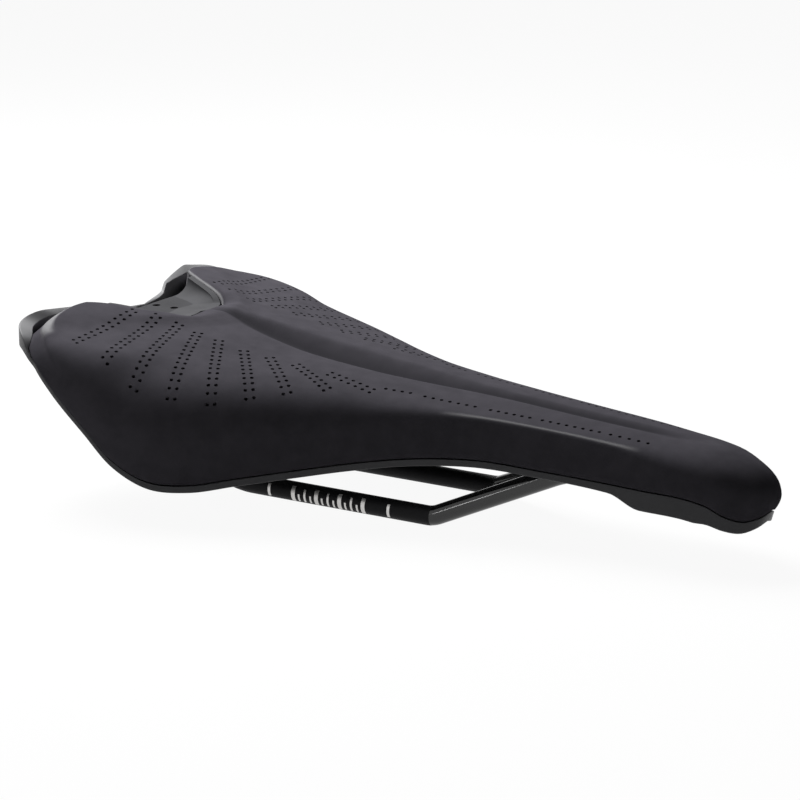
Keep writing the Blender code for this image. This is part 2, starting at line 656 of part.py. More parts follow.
def make_nose_anchor(shell, under_shell, bores):
    """Socket against the shell and clamp below it, closing on the two rail ends."""
    end = rail_nose(1)
    split = end.z
    front = end.x + NOSE_BLOCK_AHEAD
    rear = front - NOSE_BLOCK_LENGTH
    blocks = []
    for name, low, high in (("nose_rail_socket", split + NOSE_SPLIT / 2, CUTTER_REACH),
                            ("nose_rail_clamp", split - NOSE_CLAMP_HEIGHT, split - NOSE_SPLIT / 2)):
        mesh = box_mesh(name, (rear, -SADDLE_WIDTH, low), (front, SADDLE_WIDTH, high))
        blocks.append(add_object(name, mesh, SOCKET_FINISH))
        cut(blocks[-1], under_shell, "INTERSECT")
        for bore in bores:
            cut(blocks[-1], bore)
    socket, clamp = blocks
    seat = split - NOSE_CLAMP_HEIGHT + SCREW_HEAD_HEIGHT + CLEARANCE
    middle = (front + rear) / 2
    for place, sign in (("front", 1), ("rear", -1)):
        x = middle + sign * (NOSE_BLOCK_LENGTH / 2 - CLAMP_SCREW_INSET)
        make_screw(f"nose_clamp_screw_{place}", (x, 0.0, seat), CLAMP_SCREW_LENGTH, math.pi, blocks)
        x = middle + sign * SOCKET_SCREW_PITCH / 2
        top = sunk_seat(x, 0.0)
        length = top - split - NOSE_SPLIT / 2 - SCREW_TIP_COVER
        make_screw(f"nose_socket_screw_{place}", (x, 0.0, top), length, 0.0, (shell, socket))


def make_rear_socket(side_name, side, shell, under_shell, bore):
    """A moulded block under the tail lobe that holds one rail end, on two screws."""
    end = rail_tail(side)
    rear = end.x - REAR_BLOCK_BEHIND
    low = (rear, end.y - REAR_BLOCK_WIDTH / 2, end.z - REAR_BLOCK_DEPTH)
    high = (rear + REAR_BLOCK_LENGTH, end.y + REAR_BLOCK_WIDTH / 2, CUTTER_REACH)
    name = f"{side_name}_rear_socket"
    socket = add_object(name, box_mesh(name, low, high, BLOCK_EDGE), SOCKET_FINISH)
    cut(socket, under_shell, "INTERSECT")
    cut(socket, bore)
    for place, sign in (("inner", -side), ("outer", side)):
        x = end.x + REAR_SCREW_AHEAD
        y = end.y + sign * REAR_SCREW_SPREAD / 2
        top = sunk_seat(x, y)
        make_screw(f"{side_name}_rear_screw_{place}", (x, y, top), SCREW_LENGTH, 0.0, (shell, socket))


def insert_outline():
    """The insert's left edge in plan, from the centre plane to the rear: inside notch and lip."""
    notch = Section(NOTCH_PLACE, SKIN)
    middle = Section(0.0, SHELL_OUTSIDE)
    rear = middle.plan(lip_faces(middle)[0])[0] + 2 * CLEARANCE
    edge = [notch.plan(notch.reach * i / INSERT_STEPS) for i in range(INSERT_STEPS + 1)]
    outline = []
    for a, b in zip(edge, edge[1:]):
        ahead = Vector((b[0] - a[0], b[1] - a[1])).normalized()
        inside = Vector(a) + INSERT_GAP * Vector((-ahead.y, ahead.x))
        if not outline:
            outline.append(Vector((inside.x, 0.0)))
        elif inside.x > rear:
            outline.append(inside)
        else:
            before = outline[-1]
            share = (rear - before.x) / (inside.x - before.x)
            return outline + [before.lerp(inside, share)]
    return outline


def make_tail_insert(shell, over_shell):
    """The floor of the notch, with a pad through the shell that takes an accessory bracket."""
    left = insert_outline()
    centre = left[-1].x + ACCESSORY_INSET
    floor = layer_height(FOAM_INSIDE, centre, 0.0) + INSERT_THICKNESS
    plan = left + [Vector((p.x, -p.y)) for p in left[:0:-1]]
    count = len(plan)
    points = [Vector((p.x, p.y, z)) * MM for z in (0.0, floor) for p in plan]
    faces = [tuple(range(count))[::-1], tuple(range(count, 2 * count))]
    for i in range(count):
        j = (i + 1) % count
        faces.append((i, j, count + j, count + i))
    insert = add_object("tail_insert", mesh_from("tail_insert", points, faces), INSERT_FINISH)
    cut(insert, over_shell)
    pad_bottom = layer_height(SHELL_INSIDE, centre, 0.0) - ACCESSORY_PAD_PROUD
    thread = THREAD_INSERT_DIAMETER / 2 + CLEARANCE
    pad_half = ACCESSORY_PITCH / 2 + thread + ACCESSORY_PAD_WALL
    low = Vector((centre - pad_half, -ACCESSORY_PAD_WIDTH / 2, pad_bottom))
    high = Vector((centre + pad_half, ACCESSORY_PAD_WIDTH / 2, floor - INSERT_THICKNESS / 3))
    cut(insert, add_object("tail_pad", box_mesh("tail_pad", low, high)), "UNION")
    around = Vector((CLEARANCE, CLEARANCE, CLEARANCE))
    cut(shell, add_object("tail_window", box_mesh("tail_window", low - around, high + around)))
    for end, sign in (("front", 1), ("rear", -1)):
        at = (centre + sign * ACCESSORY_PITCH / 2, 0.0, pad_bottom)
        depth = THREAD_INSERT_LENGTH + CLEARANCE
        rings = [(-CUTTER_REACH, thread, 0), (depth, thread, 0),
                 (depth, ACCESSORY_HOLE / 2, 0), (CUTTER_REACH, ACCESSORY_HOLE / 2, 0)]
        hole = f"accessory_hole_{end}"
        cut(insert, add_object(hole, turned_mesh(hole, rings, HOLE_SIDES, phase=0.5), at=at))
        make_thread_insert(f"accessory_thread_{end}", at)
    for name, side in (("left", 1), ("right", -1)):
        y = side * TAIL_SCREW_SPREAD / 2
        seat = layer_height(SHELL_INSIDE, centre, y) - 2 * CLEARANCE
        length = floor - SCREW_TIP_COVER - seat
        make_screw(f"tail_screw_{name}", (centre, y, seat), length, math.pi, (shell, insert))


def make_thread_insert(name, at):
    """A plain bush, threaded in the real part, pressed into the pad from below."""
    outer, inner = THREAD_INSERT_DIAMETER / 2, ACCESSORY_HOLE / 2
    profile = [(CLEARANCE, outer), (THREAD_INSERT_LENGTH, outer),
               (THREAD_INSERT_LENGTH, inner), (CLEARANCE, inner)]
    points, faces = [], []
    for height, radius in profile:
        for i in range(HOLE_SIDES):
            angle = 2 * math.pi * i / HOLE_SIDES
            points.append(Vector((radius * math.cos(angle), radius * math.sin(angle), height)) * MM)
    for i in range(len(profile)):
        for k in range(HOLE_SIDES):
            a, b = i * HOLE_SIDES, (i + 1) % len(profile) * HOLE_SIDES
            j = (k + 1) % HOLE_SIDES
            faces.append((a + k, a + j, b + j, b + k))
    add_object(name, mesh_from(name, points, faces, smooth_angle=40), THREAD_FINISH, at)


for old in list(bpy.data.objects):
    bpy.data.objects.remove(old, do_unlink=True)

ASSEMBLY = bpy.data.objects.new("saddle", None)
bpy.context.scene.collection.objects.link(ASSEMBLY)

COVER_FINISH = material("black microfibre", (0.055, 0.053, 0.058), 0.62)
FOAM_FINISH = material("moulded foam", (0.16, 0.16, 0.17), 0.9)
SHELL_FINISH = material("black nylon", (0.03, 0.03, 0.032), 0.45)
INSERT_FINISH = material("grey nylon", (0.09, 0.09, 0.095), 0.4)
SOCKET_FINISH = material("glass filled nylon", (0.025, 0.025, 0.027), 0.55)
RAIL_FINISH = material("black steel rail", (0.02, 0.02, 0.022), 0.35, 0.8)
SCREW_FINISH = material("zinc plated screw", (0.55, 0.55, 0.56), 0.35, 1.0)
THREAD_FINISH = material("brass thread", (0.6, 0.45, 0.2), 0.35, 1.0)

UNDER = volume_under("under_shell_space", UNDER_SHELL, 0.0)
OVER = volume_under("shell_space", FOAM_INSIDE, FOAM_INSIDE.side)
SHELL = make_shell()
make_cover()
make_foam()
LEFT_RAIL, LEFT_BORE = make_rail("left_rail", 1)
RIGHT_RAIL, RIGHT_BORE = make_rail("right_rail", -1)
make_nose_anchor(SHELL, UNDER, (LEFT_BORE, RIGHT_BORE))
make_rear_socket("left", 1, SHELL, UNDER, LEFT_BORE)
make_rear_socket("right", -1, SHELL, UNDER, RIGHT_BORE)
make_tail_insert(SHELL, OVER)
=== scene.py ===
"""A road bicycle saddle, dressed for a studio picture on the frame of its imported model.

The cover, the foam, the base shell and the rails are made again at a finer grain, and take the place
of their plain solids. The lining of the tail notch and the marks of the rails' scale are added. The
other solids stay and get finer materials.
Sizes are in millimetres, and become metres as the meshes are made, where nothing else is said.
"""
import math
from collections import namedtuple

import bmesh
import bpy
import numpy as np
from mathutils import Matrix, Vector
from mathutils.bvhtree import BVHTree
from mathutils.kdtree import KDTree


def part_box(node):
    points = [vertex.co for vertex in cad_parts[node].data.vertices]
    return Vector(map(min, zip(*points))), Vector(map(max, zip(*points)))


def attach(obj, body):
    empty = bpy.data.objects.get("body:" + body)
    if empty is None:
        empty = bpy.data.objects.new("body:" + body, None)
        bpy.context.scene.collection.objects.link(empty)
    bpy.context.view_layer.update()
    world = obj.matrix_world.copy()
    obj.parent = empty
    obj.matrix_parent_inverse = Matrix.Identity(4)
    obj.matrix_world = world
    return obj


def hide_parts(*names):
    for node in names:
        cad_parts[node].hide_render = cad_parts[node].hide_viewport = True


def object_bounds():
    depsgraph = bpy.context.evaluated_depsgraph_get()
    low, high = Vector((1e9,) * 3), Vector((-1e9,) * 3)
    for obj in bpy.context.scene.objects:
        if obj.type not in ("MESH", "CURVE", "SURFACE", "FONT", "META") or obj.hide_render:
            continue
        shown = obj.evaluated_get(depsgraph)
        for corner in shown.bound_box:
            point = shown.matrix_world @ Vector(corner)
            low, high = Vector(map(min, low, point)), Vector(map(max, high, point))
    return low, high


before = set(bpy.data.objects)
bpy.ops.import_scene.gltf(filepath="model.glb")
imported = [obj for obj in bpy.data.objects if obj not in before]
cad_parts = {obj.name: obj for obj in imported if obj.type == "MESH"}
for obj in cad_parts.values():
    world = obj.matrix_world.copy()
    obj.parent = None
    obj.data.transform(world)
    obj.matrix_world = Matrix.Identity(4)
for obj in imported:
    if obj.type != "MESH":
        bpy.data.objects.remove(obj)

CAD_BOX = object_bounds()
MM = 0.001
UP = Vector((0.0, 0.0, 1.0))
MIRROR = np.array([1.0, -1.0, 1.0])  # to the other side of the centre plane

# Camera, as fitted to the photograph
IMAGE_SIZE = 800.0  # pixels across the photograph
FOCAL = 3388.9  # pixels
SENSOR = 36.0
CAMERA_DISTANCE = 1200.0
CAMERA_AZIMUTH = 32.26  # degrees round from the right hand side, towards the nose
CAMERA_ELEVATION = 14.92
CAMERA_AIM = (14.46, 0.0, 32.86)

# Layers, from the outside in
CLEARANCE = 0.3
COVER_THICKNESS = 1.2
FOAM_SIDE = 2.0  # thickness of the foam on the sides
SHELL_WALL = 2.2
SHELL_CHANNEL = 0.4  # depth of the channel in the shell, as a share of the skin's
SEAM_GAP = 0.55  # between the cover's hem and the shell
HEM_ROLL = 0.35  # radius of the cover's turned edge
HEM_STEPS = 7

# Edge of the cover around the tail notch
NOTCH_WALL = 2.4  # thickness of the cover there
NOTCH_ROUND = 0.5  # rounding of its edge
NOTCH_ROWS = (0.0, 0.1, 0.35, 0.8, 1.4, 2.1, 3.0, 4.2)  # places of the first sections
NOTCH_DEEP_ROWS = 4  # of these, the ones that reach down through the foam
NOTCH_WALL_SHARES = (1.0, 0.75, 0.5, 0.25, 0.1)  # of the wall's depth, from the bottom up

# Bevel along the lobes' crest and around the notch
CREST_WIDTH = 2.0
CREST_FALL = 0.8
CREST_LEAST = 0.35  # of a row's crest, up to which there is no bevel
CREST_FULL = 0.8  # and from which on it is whole
NOTCH_BEVEL = 1.5
NOTCH_SLOPE = 0.42

# Hollow in front of the notch, which levels its front edge
DIP_X = -72.0
DIP_LENGTH = 8.0
DIP_MIDDLE = 0.7  # depth at the centre
DIP_DEPTH = 2.3  # and at its edges
DIP_EDGE = 11.0  # half width up to there
DIP_FADE = 5.0

# Where the cover gets a painted highlight: on shoulders with a smaller rounding than this, and on the
# bevels
HIGHLIGHT_RADIUS = 3.4
HIGHLIGHT_FADE = 1.2
HIGHLIGHT_STOP = 0.66  # stop in the middle of the rubbed line
HIGHLIGHT_WIDTH = 0.035  # of that line, in stops
HIGHLIGHT_DEPTH = 0.4  # below the skin, where the painted highlight ends
CREST_HIGHLIGHT = 4.0  # how steeply it sets in across the crest's bevel
CREST_HIGHLIGHT_HEIGHT = 0.6  # of the side's height, from which on the crest gets the painted highlight
CREST_HIGHLIGHT_FADE = 0.2
NOTCH_HIGHLIGHT_FADE = 0.5

# Edge of the base shell
FLANGE_THICKNESS = 1.6
STRIP_WALL = 1.8
STRIP_INSET = 0.4
STRIP_LEAST = 0.3
STRIP_DRAFT = 1.0  # how far the strip slopes in around the nose
STRIP_DRAFT_X = (132.0, 136.0)  # along the spine, from where it starts to where it is whole
STRIP_FILLETS = (0.7, 0.6, 0.4)  # outer and inner lower edge, and corner above the inner
LIP_WALL = 2.8
LIP_LEAST = 0.5  # thickness of the lip where it starts
LIP_BEVEL = 0.5  # fall of the lip's top to its inner face
LIP_BEVEL_SHARE = 0.6  # of the lip's height, that this fall takes at most
LIP_FALL = 1.6  # how much further the top falls behind the lobes
LIP_BRIM_SHARE = 0.5  # of the lip's height, that the top's inner edge keeps at least
LIP_REACH = 2.6  # how far the top overhangs the inner face behind the lobes
LIP_CLEAR = 0.8  # from that overhang to the cover
LIP_STEEPNESS = 30.0  # rise of the lip for each millimetre of room beside the cover
LIP_DRAFT = 0.3  # of the inner face
LIP_CHAMFER = (0.3, 0.4)  # of the outer edge, across and down
LIP_FILLET = 0.4
LIP_FOOT_FILLET = 0.6
FILLET_SHARE = 0.45  # of an edge's length, that a rounding takes at most

# Room in the base shell for other pieces
SCREW_ROOM = 2.0  # above and below a screw
SCREW_SIDES = 24
PAD_WALL = 0.9  # of the accessory pad, around its bushes
PAD_WIDTH = 12.0
PAD_ROOM = (-2.0, 8.8)  # in height, from the insert's underside

# Lining of the tail notch: a hollow sweep from the cover's edge down to the insert's floor
LINING_GAP = 0.3
LINING_DROP = 0.9  # from the cover's edge to the lining's
LINING_DROP_Y = (8.0, 16.0)  # across, over which that drop grows to the whole
LINING_DROP_SHARE = 0.25  # of it, that there is everywhere
LINING_SWEEP = 8.0  # across the lining
LINING_STEPS = 14
LINING_LEDGE = 2.2  # flat top, next to the cover
LINING_LEAST = 0.15
LINING_PROUD = 0.04  # of its foot, above the insert's floor
REAR_CUT = (50.0, 60.0)  # length and half width of the box that trims it at the insert's rear
REAR_CUT_Z = (-10.0, 30.0)  # and the box's heights, from the floor

# Rails, and the fore and aft scale on their outer sides
RAIL_RADIUS = 3.5
RAIL_SIDES = 40
BEND_STEP = 3.0  # degrees between the rings of a bend
SCALE_START = -14.4  # first tall mark
SCALE_STEP = 2.45
SCALE_COUNT = 13
SCALE_END_MARKS = (-24.7, 25.5)
MARK_PROUD = 0.04
MARK_SINK = 0.15
MARK_STEPS = 15

# Width of each kind of mark, and the angles of its upper and lower end around the rail
END_MARK = (1.1, 40.0, -42.0)
TALL_MARK = (1.6, 50.0, -52.0)
MIDDLE_MARK = (0.85, 39.0, -46.0)
SHORT_MARK = (0.75, 4.0, -45.0)
SCALE_MARKS = (TALL_MARK, SHORT_MARK, MIDDLE_MARK, SHORT_MARK)  # in turn

# Perforations of the cover
HOLE_RADIUS = 0.55
HOLE_PITCH = 3.25
HOLE_ROW_GAP = 2.7  # between the two rows of a ray
HOLE_SIDES = 10
HOLE_PROFILE = ((-1.6, 0.9), (-0.3, 1.0), (0.15, 1.45), (0.7, 1.45))  # height, share of the radius
ABOVE_ALL = 200.0  # height from which the skin is looked for

# Angle between faces, in degrees, from which on an edge is shaded sharp
MOULDED_SHARP = 42.0  # on the cover and the shell
PLAIN_SHARP = 40.0  # on the foam, the lining and the scale
ROD_SHARP = 50.0

# Finishes
NOISE_LOW, NOISE_HIGH = 0.3, 0.7  # noise that gives a finish's first and second colour
COARSE_DETAIL = 4.0
FINE_DETAIL = 2.0
GRAIN_STRENGTH = 0.5
# painted shade in the central channel
GROOVE_SHADE_COLOUR = (0.028, 0.027, 0.031)
# painted highlight along the cover's edges, with more gloss there
HIGHLIGHT_COLOUR = (0.18, 0.178, 0.186)
HIGHLIGHT_GLOSS = 0.2
RAIL_POLISH_X = (42.0, 42.3)  # along X, over which the rails' finish turns glossy
LIP_HIGHLIGHT_Z = (50.5, 54.0)  # in height, over which the shell's colour turns into the paler painted reflection on the lip's top

# Surroundings and floor, which both look white, and lights
AMBIENT = 0.004  # strength of the light that the surroundings give
FLOOR_TINTS = ((0.4,), (0.44,))
FLOOR_GRAIN = 3.0
FLOOR_ROUGHNESS = 0.9
FLOOR_GLOW = 1.1
FLOOR_GLOW_SHARE = 0.85  # of what is seen of the floor; the rest takes the shadow
FLOOR_HALF = 6.0  # metres
FLOOR_GAP = 0.0002  # metres, below the saddle
LIGHTS = [  # place, size in metres, power in watts, and what it points at
    ("tail_softbox", (-400.0, 220.0, 590.0), (0.5, 0.5), 10.2, (0.0, 0.0, 40.0)),
    ("near_strip", (-408.0, -1054.0, 430.0), (0.084, 0.053), 0.3, (66.0, -16.0, 10.0)),
]

# Places of the sections along the hem, and stops across each of them: from 0 at the spine over the
# top, round the corner and down the side to 1 at the hem
STATION_STEP = 1.7
FOAM_STEP = 4.0
CORNER_START = 0.55
CORNER_END = 0.82
STOP_RUNS = [(0.0, 0.2, 19), (0.2, 0.47, 13), (0.47, CORNER_START, 13),
             (CORNER_START, CORNER_END, 13), (CORNER_END, 1.0, 10)]
STOPS = np.concatenate([[0.0]] + [np.linspace(*run)[1:] for run in STOP_RUNS])

# Shape of the sections
ROUND_LIMIT = 0.8  # of the top and of the side, that a rounding takes at most
CORNER_PULL = 0.15  # of the side's lean, by which the corner is drawn in
CHANNEL_FLOOR = 0.18  # softness of the channel's floor
CHANNEL_EDGE = 0.12  # and of its edges
CHANNEL_SHALLOW = 1.5  # a channel less deep than this doesn't get the full painted shade
BOW_SCALE = 256 / 27  # with which a section's bow is its greatest shift

# Cross sections of the left half, from the tail centre round the lobe and along the side to the
# nose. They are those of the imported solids, moved a little nearer to the photograph at both ends.
# A row has its place on the spine, the hem, the side's lean, the shoulder's height, the roundings
# above and below it, the side's bulge, the foam on top, the depth of the shell's strip, how far the
# shell's lip stands out and rises, the bow in plan, and how much of a crest the lobe has.
Station = namedtuple("Station", "spine hem_x hem_y hem_z lean shoulder round_top round_side bulge "
                                "pad strip lip rise bow crest", defaults=(0.0, 0.0, 0.0, 0.0))
NOTCH_STATIONS = [
    Station(-74.5, -96.0, 0.0, 46.0, 4.0, 60.0, 3.0, 4.0, 0.0, 6.0, 3.0, 2.0, 8.4, 0.0, 0.0),
    Station(-73.2, -99.5, 16.0, 47.0, 5.0, 60.6, 2.0, 3.0, 0.0, 6.0, 3.0, 4.4, 8.0, 4.0, 0.5),
    Station(-72.9, -100.8, 20.0, 47.4, 5.2, 60.8, 2.0, 3.0, 0.0, 6.0, 3.0, 5.2, 10.3, 4.8, 0.6),
]
SIDE_STATIONS = [
    Station(-71.5, -106.2, 37.0, 48.8, 8.5, 60.8, 1.8, 2.4, 0.0, 6.5, 2.6, 7.0, 10.2, 9.0, 1.0),
    Station(-64.0, -109.0, 48.1, 50.0, 9.0, 59.8, 1.8, 2.0, 0.0, 6.0, 2.6, 5.9, 7.6, 7.0, 0.9),
    Station(-56.0, -105.6, 57.9, 51.3, 7.4, 57.8, 1.6, 2.0, 0.0, 4.0, 2.6, 3.9, 4.5, 4.6, 0.7),
    Station(-53.0, -102.9, 61.4, 50.6, 7.0, 56.5, 1.7, 2.0, 0.0, 3.4, 2.7, 2.7, 3.2, 3.4, 0.5),
    Station(-51.0, -100.6, 64.0, 48.8, 7.4, 55.6, 1.9, 2.0, 0.0, 3.6, 2.8, 1.4, 1.2, 2.4, 0.4),
    Station(-48.5, -96.3, 66.9, 45.6, 6.8, 54.6, 3.0, 3.0, 0.3, 4.6, 3.0, 0.0, 0.0, 1.2, 0.2),
    Station(-45.0, -88.4, 69.3, 39.2, 4.4, 53.4, 7.0, 6.0, 0.6, 6.0, 3.0),
    Station(-37.0, -72.7, 71.0, 26.7, 3.0, 51.0, 18.0, 14.0, 1.5, 7.2, 3.0),
    Station(-28.0, -60.0, 71.0, 16.1, 3.0, 47.4, 26.0, 20.0, 2.0, 8.0, 3.0),
    Station(-19.0, -46.0, 69.1, 10.2, 3.2, 45.0, 28.0, 22.0, 2.0, 8.0, 3.0),
    Station(-9.0, -33.0, 64.8, 10.0, 3.4, 43.4, 27.0, 22.0, 1.8, 8.0, 3.0),
    Station(2.0, -18.0, 57.0, 12.8, 3.4, 42.0, 24.0, 19.0, 1.4, 7.6, 3.0),
    Station(14.0, 0.0, 46.3, 16.0, 3.4, 40.8, 18.0, 15.0, 1.0, 7.0, 3.0),
    Station(28.0, 17.0, 37.3, 19.0, 3.4, 39.8, 11.0, 10.0, 0.7, 6.4, 3.0),
    Station(44.0, 35.0, 31.2, 21.9, 3.6, 39.0, 5.0, 5.0, 0.5, 5.6, 3.0),
    Station(66.0, 59.0, 25.4, 23.8, 3.8, 38.2, 2.0, 2.0, 0.5, 5.0, 3.0),
    Station(92.0, 87.0, 21.9, 22.8, 3.5, 36.6, 1.6, 1.6, 0.5, 4.5, 3.0),
    Station(112.5, 109.0, 20.3, 21.9, 3.2, 35.0, 2.0, 2.0, 0.6, 4.5, 3.6),
    Station(121.0, 120.8, 19.7, 21.3, 3.1, 33.9, 3.6, 3.6, 0.7, 4.5, 7.5),
    Station(130.0, 140.0, 18.0, 20.0, 3.0, 31.8, 7.0, 6.0, 0.8, 4.5, 7.6),
    Station(131.8, 145.0, 17.0, 18.7, 3.1, 31.1, 8.4, 6.9, 1.0, 4.5, 6.6),
    Station(133.5, 150.6, 15.0, 15.6, 3.2, 30.2, 10.0, 8.0, 1.2, 4.5, 5.4),
    Station(135.0, 156.0, 9.9, 13.4, 2.0, 28.4, 12.0, 8.0, 2.4, 4.5, 4.6),
    Station(135.8, 159.8, 5.2, 14.4, 1.8, 28.0, 12.5, 8.0, 2.9, 4.5, 4.2),
    Station(136.4, 161.1, 0.0, 15.6, 1.7, 28.0, 12.5, 8.0, 2.9, 4.5, 4.0),
]
STATIONS = NOTCH_STATIONS + SIDE_STATIONS  # the notch's edge runs along the first side station

# Height of the crown along the spine
CROWN = [(-74.5, 54.4), (-71.5, 54.9), (-66.0, 56.6), (-60.0, 56.6), (-54.0, 55.4), (-42.0, 53.2),
         (-30.0, 50.9), (-18.0, 48.7), (8.0, 45.8), (29.0, 43.8), (50.0, 41.9), (70.0, 40.4),
         (93.0, 38.7), (116.0, 37.0), (136.4, 35.3)]

# Corners of the left rail's axis from tail to nose, each with its bend's radius
RAIL_CORNERS = [(-90.0, 37.5, 37.73, 0.0), (-42.0, 22.0, 0.0, 24.0), (42.0, 22.0, 0.0, 10.0),
                (90.0, 10.8, 20.97, 30.0), (129.6, 6.5, 20.97, 0.0)]

# Central channel: place along X, half width, depth
CHANNEL = [(-66.0, 2.0, 0.6), (-55.0, 4.2, 2.4), (-50.0, 5.9, 3.5), (-40.0, 8.0, 4.9),
           (-30.0, 9.0, 5.6), (-10.0, 9.8, 6.1), (10.0, 9.4, 5.8), (20.0, 8.5, 5.1),
           (30.0, 7.5, 4.2), (40.0, 6.2, 3.1), (50.0, 5.0, 2.3), (65.0, 4.3, 1.9),
           (90.0, 4.3, 1.8), (115.0, 4.2, 1.3), (138.0, 4.0, 0.0), (170.0, 4.0, 0.0)]

# Perforated rays of the left lobe, each from its outer to its inner end (x, y), and how far the
# second row is staggered, in pitches; then the single rows along the nose
RAYS = [
    ((-83.8, 59.9), (-82.3, 27.0), 0.4),
    ((-68.1, 63.4), (-73.4, 24.6), 0.5),
    ((-54.3, 65.2), (-64.9, 22.9), 0.25),
    ((-40.5, 61.8), (-55.7, 24.1), 0.0),
    ((-27.2, 56.7), (-46.4, 24.3), 0.0),
    ((-16.3, 48.7), (-35.2, 24.9), 0.0),
    ((-6.3, 40.5), (-25.1, 23.4), 0.0),
    ((4.4, 31.6), (-14.5, 22.6), 0.0),
    ((18.2, 24.2), (-0.8, 21.7), 0.0),
]
NOSE_ROWS = [
    ((21.5, 20.3), (30.4, 18.4)),
    ((36.1, 18.0), (55.1, 16.0)),
    ((61.1, 15.6), (75.8, 14.2)),
    ((80.5, 13.8), (101.8, 12.2)),
    ((106.0, 12.0), (120.0, 11.4)),
]


def way(value, start, end):
    """How far a value is on its way from start to end, from 0 to 1."""
    return np.clip((value - start) / (end - start), 0.0, 1.0)


def arc(k, start, middle, end):
    """A curve from start to end, for k from 0 to 1, that heads for middle first."""
    return (1 - k) ** 2 * start + 2 * k * (1 - k) * middle + k * k * end


def smooth_through(knots, values, at, flat_end=False, monotone=True):
    """A cubic through the knots at many places, that doesn't overshoot where monotone is set."""
    knots, values = np.asarray(knots, float), np.asarray(values, float)
    at = np.asarray(at, float)
    gap = np.diff(knots)
    rate = np.diff(values) / gap
    if monotone:
        slope = np.concatenate([rate[:1], np.zeros(len(knots) - 2), rate[-1:]])
        left, right = 2 * gap[1:] + gap[:-1], gap[1:] + 2 * gap[:-1]
        alike = rate[:-1] * rate[1:] > 0
        before, after = np.where(alike, rate[:-1], 1.0), np.where(alike, rate[1:], 1.0)
        slope[1:-1] = np.where(alike, (left + right) / (left / before + right / after), 0.0)
    else:
        slope = np.gradient(values, knots)
    if flat_end:
        slope[-1] = 0.0
    i = np.clip(np.searchsorted(knots, at) - 1, 0, len(knots) - 2)
    s = np.clip((at - knots[i]) / gap[i], 0.0, 1.0)
    return (values[i] * (1 + 2 * s) * (1 - s) ** 2 + gap[i] * slope[i] * s * (1 - s) ** 2
            + values[i + 1] * s * s * (3 - 2 * s) - gap[i] * slope[i + 1] * s * s * (1 - s))


STEPS = [math.dist((a.hem_x, a.hem_y, a.hem_z), (b.hem_x, b.hem_y, b.hem_z))
         for a, b in zip(STATIONS, STATIONS[1:])]
PLACES = np.concatenate([[0.0], np.cumsum(STEPS)])  # of the rows, along the hem
NOTCH_PLACE = PLACES[len(NOTCH_STATIONS)]
LOBE_PLACE = PLACES[len(NOTCH_STATIONS) - 1]  # where the lip starts to overhang
NOSE_PLACE = PLACES[-1]


def stations_at(places):
    """The cross sections' values at many places along the hem, each as a column."""
    values = {}
    for field in Station._fields:
        column = [getattr(row, field) for row in STATIONS]
        hem = field in ("hem_x", "hem_y", "hem_z")
        values[field] = smooth_through(PLACES, column, places, monotone=not hem,
                                       flat_end=field in ("hem_x", "hem_z"))[:, None]
    values["hem_y"][(places == PLACES[0]) | (places == NOSE_PLACE)] = 0.0
    return Station(**values)


def curve_value(points, column, x):
    return smooth_through([p[0] for p in points], [p[column] for p in points], x)


def channel_depth(x, y):
    """Depth of the central channel: straight walls with a soft floor and soft edges."""
    half = curve_value(CHANNEL, 1, x)
    depth = curve_value(CHANNEL, 2, x)
    rise = 1.0 - np.hypot(y / half, CHANNEL_FLOOR)
    return depth * 0.5 * (rise + np.hypot(rise, CHANNEL_EDGE))


def notch_dip(x, y):
    """Depth of the hollow in front of the notch."""
    along, beyond = (x - DIP_X) / DIP_LENGTH, np.maximum(abs(y) - DIP_EDGE, 0.0) / DIP_FADE
    depth = DIP_MIDDLE + (DIP_DEPTH - DIP_MIDDLE) * np.minimum(abs(y) / DIP_EDGE, 1.0) ** 2
    return depth * np.exp(-along ** 2 - beyond ** 2)


# A layer is the skin moved inwards: by top plus pads times the foam on top, and by side on the
# skirts. It ends foot below the hem, and its channel is the skin's times channel. A slipped layer
# is another one moved in by a clearance, with its edge sunk further below the hem.
Layer = namedtuple("Layer", "top pads side foot channel slip sink", defaults=(0.0, 0.0))
SKIN = Layer(0.0, 0.0, 0.0, -HEM_ROLL, 1.0)
COVER_INSIDE = Layer(COVER_THICKNESS, 0.0, COVER_THICKNESS, -HEM_ROLL, 1.0)
FOAM_OUTSIDE = COVER_INSIDE._replace(slip=CLEARANCE)
FOAM_INSIDE = Layer(COVER_THICKNESS + CLEARANCE, 1.0, COVER_THICKNESS + CLEARANCE + FOAM_SIDE,
                    0.0, SHELL_CHANNEL)
SHELL_OUTSIDE = FOAM_INSIDE._replace(slip=CLEARANCE, sink=SEAM_GAP)
SHELL_INSIDE = Layer(FOAM_INSIDE.top + CLEARANCE + SHELL_WALL, 1.0,
                     FOAM_INSIDE.side + CLEARANCE + SHELL_WALL,
                     SEAM_GAP + FLANGE_THICKNESS, SHELL_CHANNEL)


